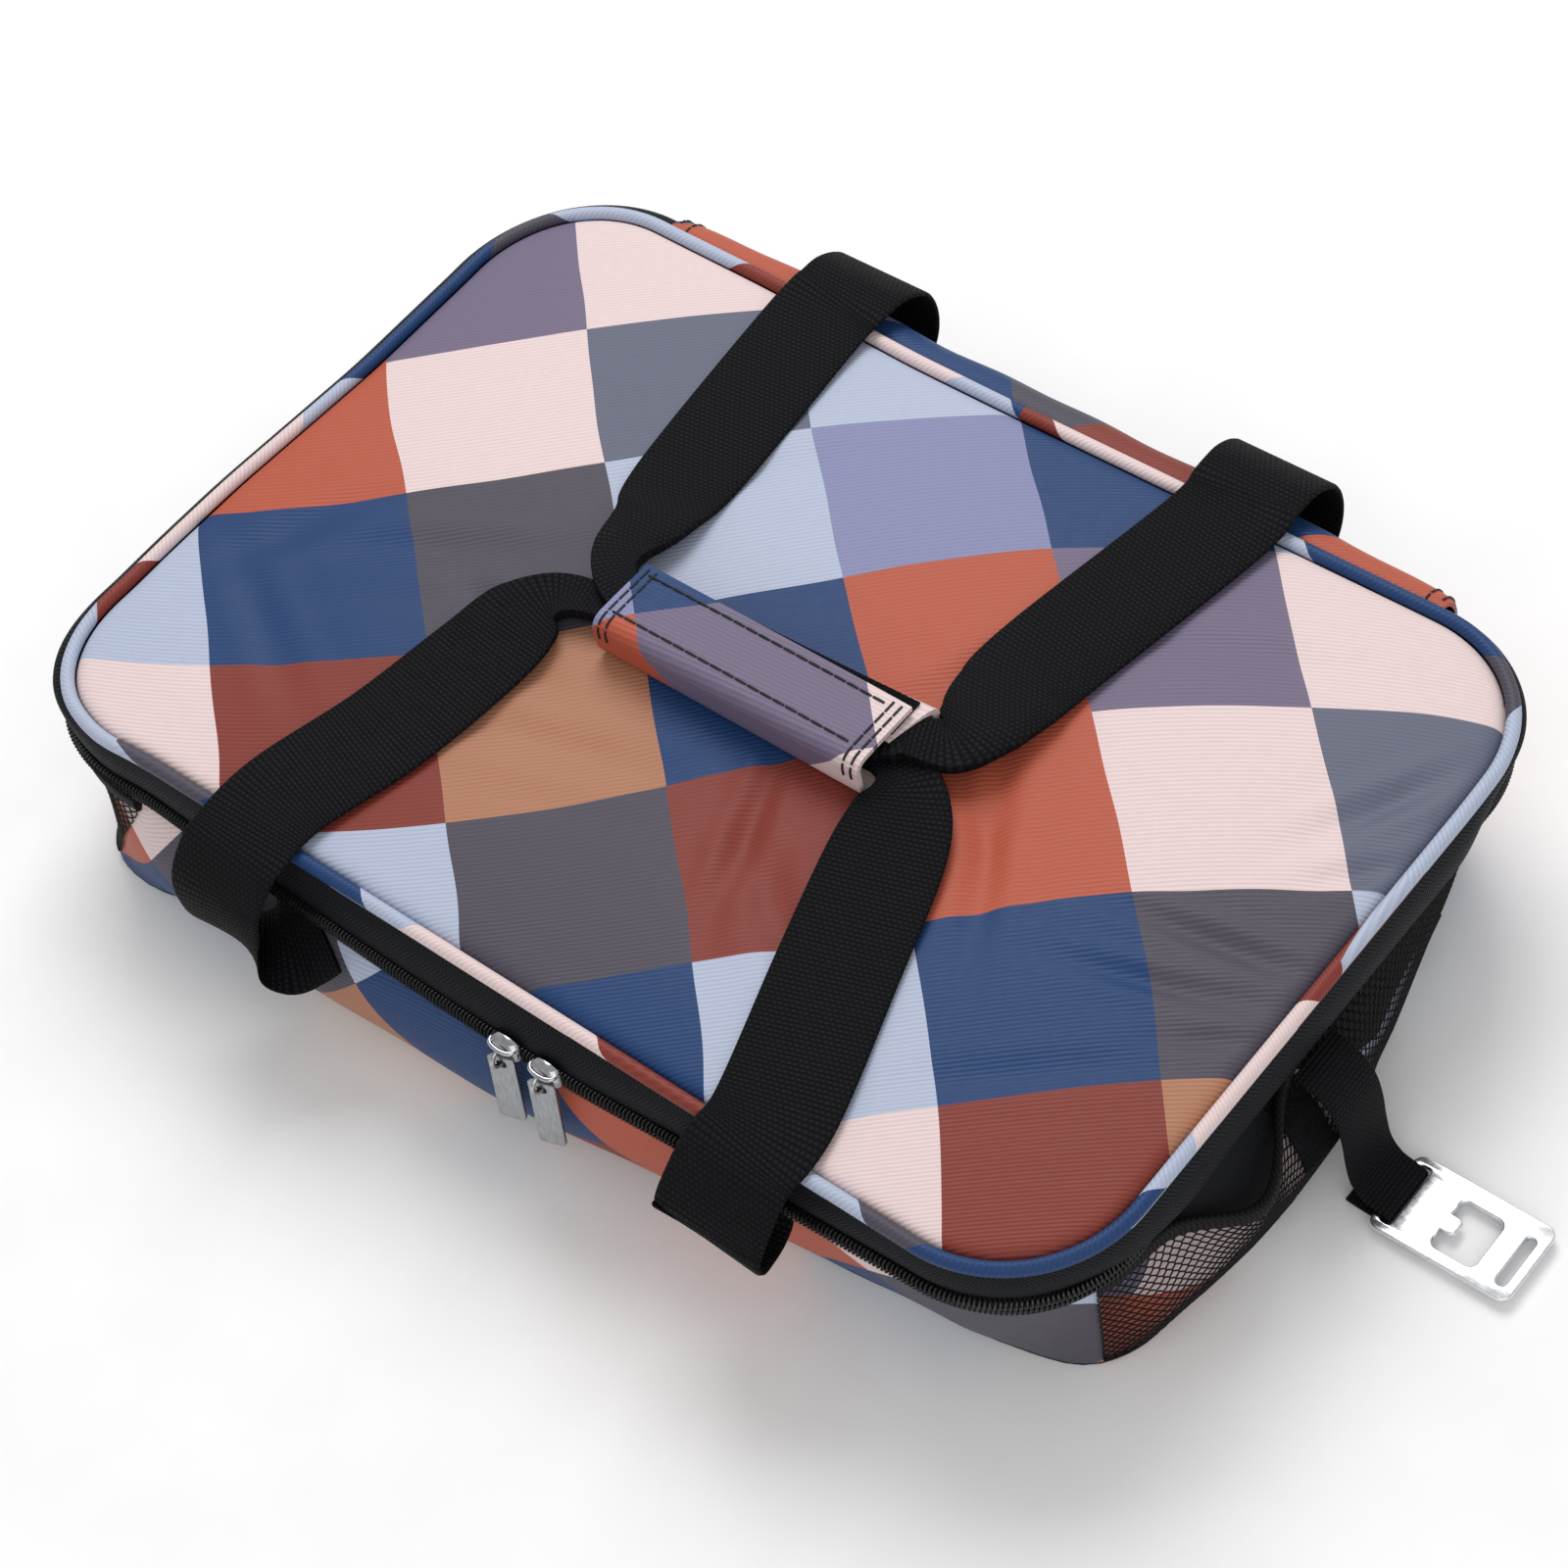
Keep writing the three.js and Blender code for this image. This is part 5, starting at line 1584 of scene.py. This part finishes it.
BACK_RIGHT = Leg(Side.RIGHT, End.BACK, (
    (5.0, 49.6, 82, 0), (11.0, 45.8, 82, 0), (19.0, 46.6, 82, 0), (25.4, 53.0, 82, 0), (27.4, 63.0, 82, 0),
    (24.4, 73.0, 82, 0), (15.6, 79.0, 82, 0), (6.0, 79.8, 82, 0)), (
    (81.5, 118, 1.4, 9, 0, 0), (70.5, 52, 0.8, 9, 0, 0.2), (70, 30, 4.2, 5, 0.12, 0.6),
    (71, 15, 6.6, 10, 0.4, 1), (68.5, 5, 8.2, 46, 0.72, 0.8), (58, -1, 8.8, 78, 0.94, 0.4),
    (42, -8, 8.8, 90, 1, 0.3)))
BACK_LEFT = Leg(Side.LEFT, End.BACK, (
    (5.0, 49.6, -78, 0), (11.0, 45.8, -78, 0), (19.0, 46.6, -78, 0), (25.4, 53.0, -78, 0),
    (27.4, 63.0, -78, 0), (24.4, 73.0, -78, 0), (15.6, 79.0, -78.5, 0), (6.0, 79.8, -79, 0)), (
    (-79.5, 118, 1.4, 5, 0, 0), (-72.5, 50, 0.8, 8, 0.05, 0.2), (-67, 27, 4.6, 8, 0.4, 0.8),
    (-65.5, 11, 7.2, 16, 0.72, 1), (-60, 1, 8.4, 52, 0.95, 0.8), (-50, -5, 8.8, 82, 1, 0.4),
    (-36, -8, 8.8, 90, 1, 0.3)))


@dataclass
class Handles:
    """The two webbing handles, sewn under the zip and gathered in the grip."""

    lid: Lid
    width: float = 38.0
    thickness: float = 1.7
    gathered: float = 13.0
    bundle: float = 4.2
    clearance: float = 1.3
    samples: int = 420

    def leg(self, leg: Leg) -> Array:
        """Lays one leg: down from its seam, round its drop, over the lid and into the grip.

        Args:
            leg: The leg.

        Returns:
            Control rows for ribbon, from the seam to the grip.
        """
        drop, lay = np.array(leg.drop), np.array(leg.lay)
        end = leg.end.value
        straight = np.full(len(drop), 0.0 if leg.side is Side.RIGHT else -end * 180.0)
        turned = straight[0] - leg.side.value * end * lay[:, 3]
        flat = np.zeros(len(drop))
        height = self.lid.height(lay[:, 0], lay[:, 1]) + self.clearance + lay[:, 2]
        beside = np.stack([
            drop[:, 2], end * (OUTLINE.half_width + drop[:, 0]), drop[:, 1], flat + self.width,
            flat + self.thickness, flat, straight, drop[:, 3]], 1)
        over = np.stack([
            lay[:, 0], lay[:, 1], height, self.width + (self.gathered - self.width) * lay[:, 4],
            self.thickness + (self.bundle - self.thickness) * lay[:, 4], lay[:, 5], turned,
            np.zeros(len(lay))], 1)
        return np.concatenate([beside, over])

    def strap(self, name: str, right: Leg, left: Leg) -> Object:
        """Builds one handle from seam to seam as a single length of webbing.

        Args:
            name: The piece's name.
            right: Its right leg.
            left: Its left leg.

        Returns:
            The object.
        """
        rows = np.concatenate([self.leg(right), self.leg(left)[::-1]])
        return sewn(name, *ribbon(curve_through(rows, self.samples)))

    def build(self) -> None:
        """Builds, dresses and mounts the two handles."""
        front = dress(self.strap("front_strap", FRONT_RIGHT, FRONT_LEFT), WEBBING)
        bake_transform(front)
        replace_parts(front, "front_handle_loop", "front_left_strap_root", "front_right_strap_root")
        back = dress(self.strap("back_strap", BACK_RIGHT, BACK_LEFT), WEBBING)
        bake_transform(back)
        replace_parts(back, "back_handle_loop", "back_left_strap_root", "back_right_strap_root")


@dataclass
class Grip:
    """The printed wrap that holds both handles together, its flap and the strips that close it."""

    x: float = 3.2
    y: float = -8.0
    length: float = 104.0
    half_width: float = 13.6
    fabric: float = 1.7
    low: float = 78.7
    flap_middle: float = 93.3
    stitch: float = 4.2
    stitch_gap: float = 0.7
    stitch_lift: float = 0.22
    spread: float = 6.5
    spread_power: float = 1.6
    lip: float = 4.0
    thread: float = 0.42
    puffing: float = 0.5
    strip_thickness: float = 0.8
    strip_fuzz: float = 0.12

    def section(self) -> Array:
        """Finds the wrap's middle line, from the flap's free edge round to the lip.

        Returns:
            Its points, as y and z.
        """
        half = self.half_width - self.fabric / 2
        floor = self.low + self.fabric / 2
        flap = self.flap_middle
        points = np.array([
            [self.half_width - 0.4, flap - 0.2], [6.0, flap], [-6.0, flap + 0.25], [-half + 2.4, flap - 0.1],
            [-half + 0.3, flap - 2.0], [-half, 88.0], [-half, 84.0], [-half + 0.6, floor + 1.4],
            [-half + 3.0, floor], [0.0, floor], [half - 3.0, floor], [half - 0.5, floor + 1.5],
            [half, 84.0], [half - 0.2, 88.2], [half - 2.0, 89.6], [half - 7.0, 89.7], [half - 12.0, 89.7]])
        return curve_through(np.insert(points, 0, 0.0, axis=1), 90)[:, 1:]

    def outward(self, line: Array) -> Array:
        """Returns the directions square to the section's line, away from the straps."""
        slope = unit(np.gradient(line, axis=0))
        return np.stack([slope[:, 1], -slope[:, 0]], 1)

    def puff(self, share: Array) -> Array:
        """Returns how far the flap swells at a share of the way along: the root of a half sine."""
        return self.puffing * np.sin(np.pi * share) ** 0.5

    def drawn(self, along: Array, line: Array) -> Array:
        """Lets the lower lip spread from under the flap towards the right end, and reach past it.

        The lip is what lies behind the middle and under the flap. It spreads back by the share of the way
        along to the power 1.6, and reaches past the right end by the sixth power.

        Args:
            along: Place along the grip.
            line: The section's points, as y and z.

        Returns:
            Their places along and across the grip.
        """
        share = np.clip(along / self.length + 0.5, 0, 1)
        under = np.clip((self.flap_middle - 1.4 - line[..., 1]) / 0.8, 0, 1)
        lip = under * np.clip(line[..., 0] / self.half_width, 0, 1)
        return np.stack(np.broadcast_arrays(
            self.x + along + self.lip * share ** 6 * lip,
            self.y + line[..., 0] + self.spread * share ** self.spread_power * lip), -1)

    def wrap(self) -> Object:
        """Builds the wrap and flap as one strip of fabric: the section carried along the grip.

        Returns:
            The object.
        """
        line = self.section()
        normal = self.outward(line) * self.fabric / 2
        closed = np.concatenate([line + normal, line[::-1] - normal[::-1]])
        along = np.linspace(-self.length / 2, self.length / 2, 60)
        puff = self.puff(np.linspace(0, 1, len(along)))[:, None]
        flap = np.clip((closed[:, 1] - self.flap_middle + 1.5) / 1.5, 0, 1)
        grid = np.dstack([self.drawn(along[:, None], closed), closed[:, 1] + puff * flap])
        thin = np.concatenate([line, line[::-1]])
        height = np.broadcast_to(thin[:, 1], (2, len(thin)))
        ends = np.dstack([self.drawn(along[[0, -1], None], thin), height])
        grid = np.concatenate([ends[:1], grid, ends[1:]])
        return sewn("grip_fabric", grid, on_cloth(doubled(along), -there_and_back(lengths(line))))

    def on_flap(self, along: Array, around: Array) -> Array:
        """Finds points on the wrap's outer face.

        Args:
            along: Place along the grip.
            around: Way round the section from the flap's free edge.

        Returns:
            The points.
        """
        line = self.section()
        face = line + self.outward(line) * (self.fabric / 2 + 0.1)
        run = lengths(line)
        y, z = np.interp(around, run, face[:, 0]), np.interp(around, run, face[:, 1])
        puff = self.puff(np.clip(along / self.length + 0.5, 0, 1))
        lift = np.clip((z - self.flap_middle + 1.0) / 1.5, 0, 1)
        flat = self.drawn(along, np.stack([y, z], -1))
        return np.stack([flat[..., 0], flat[..., 1], z + puff * lift], -1)

    def stitches(self) -> Object:
        """Sews the thread: a row along each long side of the flap and two rows across each end.

        Returns:
            The object.
        """
        step = self.stitch + self.stitch_gap
        arch = np.linspace(0, 1, 7)
        half = self.length / 2
        rows = Patchwork()
        for around in (3.4, 20.4):
            starts = np.arange(-half + 4.0, half - 4.0 - self.stitch, step)[:, None]
            along = starts + self.stitch * arch
            track = self.on_flap(along, np.full_like(along, around))
            track[..., 2] += self.stitch_lift * np.sin(np.pi * arch)
            rows.add(tube(track, self.thread, 6))
        for along_at in (-half + 2.4, -half + 5.4, half - 5.4, half - 2.4):
            starts = np.arange(1.6, 30.0, step)[:, None]
            around = starts + self.stitch * arch
            rows.add(tube(self.on_flap(np.full_like(around, along_at), around), self.thread, 6))
        return rows.build("grip_stitching")

    def strip(self, name: str, low: float, reach: float, spread: float) -> Object:
        """Builds one fastener strip along the back of the grip, with a rough face.

        Args:
            name: The piece's name.
            low: Height of its underside.
            reach: Place of its back edge across the grip.
            spread: How much further back that edge lies at the right end.

        Returns:
            The object.
        """
        along = np.linspace(-self.length / 2 + 1.0, self.length / 2 - 0.6, 150)[:, None]
        across = np.linspace(3.0, reach, 16)
        share = np.clip(along / self.length + 0.5, 0, 1)
        across = across + spread * share ** self.spread_power * across / reach
        fuzz = self.strip_fuzz * np.sin(along * 4.1 + across * 2.7) * np.sin(along * 1.9 - across * 5.3)
        height = low + self.strip_thickness + fuzz
        top = np.stack(np.broadcast_arrays(self.x + along, self.y + across, height), -1)
        under = np.stack(np.broadcast_arrays(self.x + along, self.y + across[:, ::-1], low + 0 * along), -1)
        return sewn(name, capped(np.concatenate([top, under], 1)))

    def build(self) -> None:
        """Builds, dresses and mounts the grip's pieces."""
        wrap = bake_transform(dress(self.wrap(), GRIP_PRINT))
        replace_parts(wrap, "grip_wrap", "grip_flap")
        thread = dress(self.stitches(), THREAD)
        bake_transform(thread)
        loop = self.strip("grip_loop_pile", 90.6, self.half_width + 0.6, 0.5 * self.spread)
        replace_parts(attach(dress(loop, FLEECE), "back_handle"), "grip_loop_strip")
        hook = self.strip("grip_hook_pile", 91.6, self.half_width - 0.8, 0.0)
        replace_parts(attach(dress(hook, FLEECE), "grip_flap"), "grip_hook_strip")


@dataclass
class Opener:
    """The bottle opener and the short webbing that ties it to the right end."""

    near: float = 228.5
    y: float = -9.0
    length: float = 47.0
    width: float = 28.0
    thickness: float = 2.0
    bevel: float = 0.45
    corner: float = 3.5
    lift: float = 2.3
    # Length, width and corner of each slot, and how far its middle lies from the near or the far edge
    near_slot: tuple[float, float, float] = (4.0, 22.0, 1.4)
    near_slot_at: float = 4.5
    far_slot: tuple[float, float, float] = (3.4, 18.0, 1.6)
    far_slot_at: float = 4.9
    cap_from: float = 18.6
    cap_to: float = 33.4
    cap_half: float = 9.0
    cap_corner: float = 2.6
    strap_width: float = 20.0
    strap_thickness: float = 1.3
    # x and z along the strap
    strap_path: tuple[tuple[float, float], ...] = (
        (203.6, 53.2), (208.6, 52.0), (214.0, 48.0), (217.6, 42.0), (219.4, 33.0), (220.2, 22.0),
        (221.6, 13.0), (225.0, 7.6), (229.4, 5.8), (232.8, 4.8), (233.8, 3.2), (232.2, 1.5),
        (228.4, 1.2), (223.0, 1.6), (219.0, 2.2))

    def plate(self) -> Object:
        """Stamps the opener: strap slot, cap opening with its lifting lip, and the far slot.

        Returns:
            The object.
        """
        edge = rounded_loop(self.length, self.width, self.corner)
        near = -self.length / 2
        slot = rounded_loop(*self.near_slot, (near + self.near_slot_at, 0.0))
        far = rounded_loop(*self.far_slot, (-near - self.far_slot_at, -1.0))
        start, stop, wide = near + self.cap_from, near + self.cap_to, self.cap_half
        hole = rounded_loop(stop - start, 2 * wide, self.cap_corner, ((start + stop) / 2, 0.0))
        # Backwards, from the corner above the lip round to the one below it
        hole = np.roll(hole[::-1], 2 * CORNER_STEPS, axis=0)
        lip = [[start + 0.4, -wide + 2.0], [start, -3.0], [start + 3.6, -3.0], [start + 4.5, -2.0],
               [start + 4.5, 2.0], [start + 3.6, 3.0]]
        cap = np.concatenate([[[start, 3.0], [start + 0.4, wide - 2.0]], hole, lip]) - [0.0, 1.0]
        centre = Vector((self.near + self.length / 2, self.y, self.lift + self.thickness / 2)) * MM
        place = Matrix.Translation(centre)
        return stamped_plate("opener_plate", [edge, slot, far, cap], self.thickness, self.bevel, place)

    def strap(self) -> Object:
        """Runs the webbing from under the zip, over the pocket's binding, down and round the opener's bar.

        Returns:
            The object.
        """
        x, z = np.array(self.strap_path).T
        ones = np.ones(len(x))
        rows = np.stack([
            x, self.y * ones, z, self.strap_width * ones, self.strap_thickness * ones, 0 * ones,
            90 * ones, 0 * ones], 1)
        return sewn("opener_webbing", *ribbon(curve_through(rows, 120)))

    def build(self) -> None:
        """Builds, dresses and mounts the opener and its strap."""
        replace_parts(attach(dress(self.plate(), STEEL), "opener"), "bottle_opener")
        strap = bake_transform(dress(self.strap(), OPENER_WEBBING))
        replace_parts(strap, "opener_strap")


@dataclass
class Studio:
    """The camera at the photograph's place, a pale floor and soft light."""

    azimuth: float = 51.123
    elevation: float = 51.624
    roll: float = -14.718
    distance: float = 1.10315
    lens: float = 85.67
    sensor: float = 36.0
    target: tuple[float, float, float] = (0.03003, -0.02823, 0.076)
    floor_half: float = 4.0
    room: float = 0.55
    # Each light: name, place, size and power
    lights: tuple[tuple[str, tuple[float, float, float], float, float], ...] = (
        ("key", (-0.7, 0.9, 1.7), 1.2, 27.0), ("fill", (1.1, -1.0, 1.2), 1.6, 9.0))

    def camera(self) -> None:
        """Places the camera on a ray from the target, turned about its own axis."""
        around, above, roll = (math.radians(v) for v in (self.azimuth, self.elevation, self.roll))
        level = math.cos(above)
        back = Vector((math.sin(around) * level, -math.cos(around) * level, math.sin(above)))
        right = Vector((math.cos(around), math.sin(around), 0))
        up = back.cross(right)
        turned_right = math.cos(roll) * right + math.sin(roll) * up
        turned_up = -math.sin(roll) * right + math.cos(roll) * up
        eye = Vector(self.target) + self.distance * back
        data = bpy.data.cameras.new("view")
        data.lens = self.lens
        data.sensor_width = self.sensor
        camera = bpy.data.objects.new("view", data)
        bpy.context.scene.collection.objects.link(camera)
        camera.matrix_world = Matrix((turned_right, turned_up, back)).transposed().to_4x4()
        camera.matrix_world.translation = eye
        bpy.context.scene.camera = camera

    def light(self, name: str, place: tuple[float, float, float], size: float, power: float) -> None:
        """Hangs one square soft light, aimed at the bag.

        Args:
            name: Its name.
            place: Its place, in metres.
            size: Its side, in metres.
            power: Its power, in watts.
        """
        data = bpy.data.lights.new(name, "AREA")
        data.size = size
        data.energy = power
        lamp = bpy.data.objects.new(name, data)
        bpy.context.scene.collection.objects.link(lamp)
        lamp.location = place
        lamp.rotation_euler = (-Vector(place)).to_track_quat("-Z", "Y").to_euler()

    def build(self) -> None:
        """Builds the floor, the light and the camera."""
        half = self.floor_half
        corners = [(-half, -half, 0), (half, -half, 0), (half, half, 0), (-half, half, 0)]
        mesh = bpy.data.meshes.new("floor")
        mesh.from_pydata(corners, [], [(0, 1, 2, 3)])
        floor = bpy.data.objects.new("floor", mesh)
        bpy.context.scene.collection.objects.link(floor)
        mesh.materials.append(PAPER.material())
        world = bpy.data.worlds.new("soft_room")
        world.use_nodes = True
        background = world.node_tree.nodes["Background"]
        background.inputs["Color"].default_value = (1, 1, 1, 1)
        background.inputs["Strength"].default_value = self.room
        bpy.context.scene.world = world
        bpy.context.scene.view_settings.view_transform = "Standard"
        for light in self.lights:
            self.light(*light)
        self.camera()


def main() -> None:
    """Builds the studio and every sub-assembly."""
    logging.basicConfig(level=logging.INFO, format="%(name)s: %(message)s")
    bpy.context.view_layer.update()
    Studio().build()
    lid = Lid()
    body = Body()
    lid.build()
    body.build()
    Zip().build()
    Pocket(
        Side.RIGHT, 837.0, 1019.0,
        (837, 856, 871, 889, 907, 931, 951, 961, 972, 983, 993, 1004, 1019),
        (-5.4, 4, 7, 8.6, 9.5, 9, 6, 3, 0.8, -2, -4.5, -7, -11), 919.0, body,
        sag_at=892.0, sag=16.0, mouth=50.0, shade_drop_at=926.0).build()
    Pocket(
        Side.LEFT, 236.0, 460.0, (236, 260, 314, 380, 420, 440, 474), (2.5, 4, 2, -2, -4, -2, 8), 281.0, body,
        rake=26.0, sag_at=330.0, sag=3.0, mouth=48.5).build()
    Handles(lid).build()
    Grip().build()
    Opener().build()


if __name__ == "__main__":
    main()
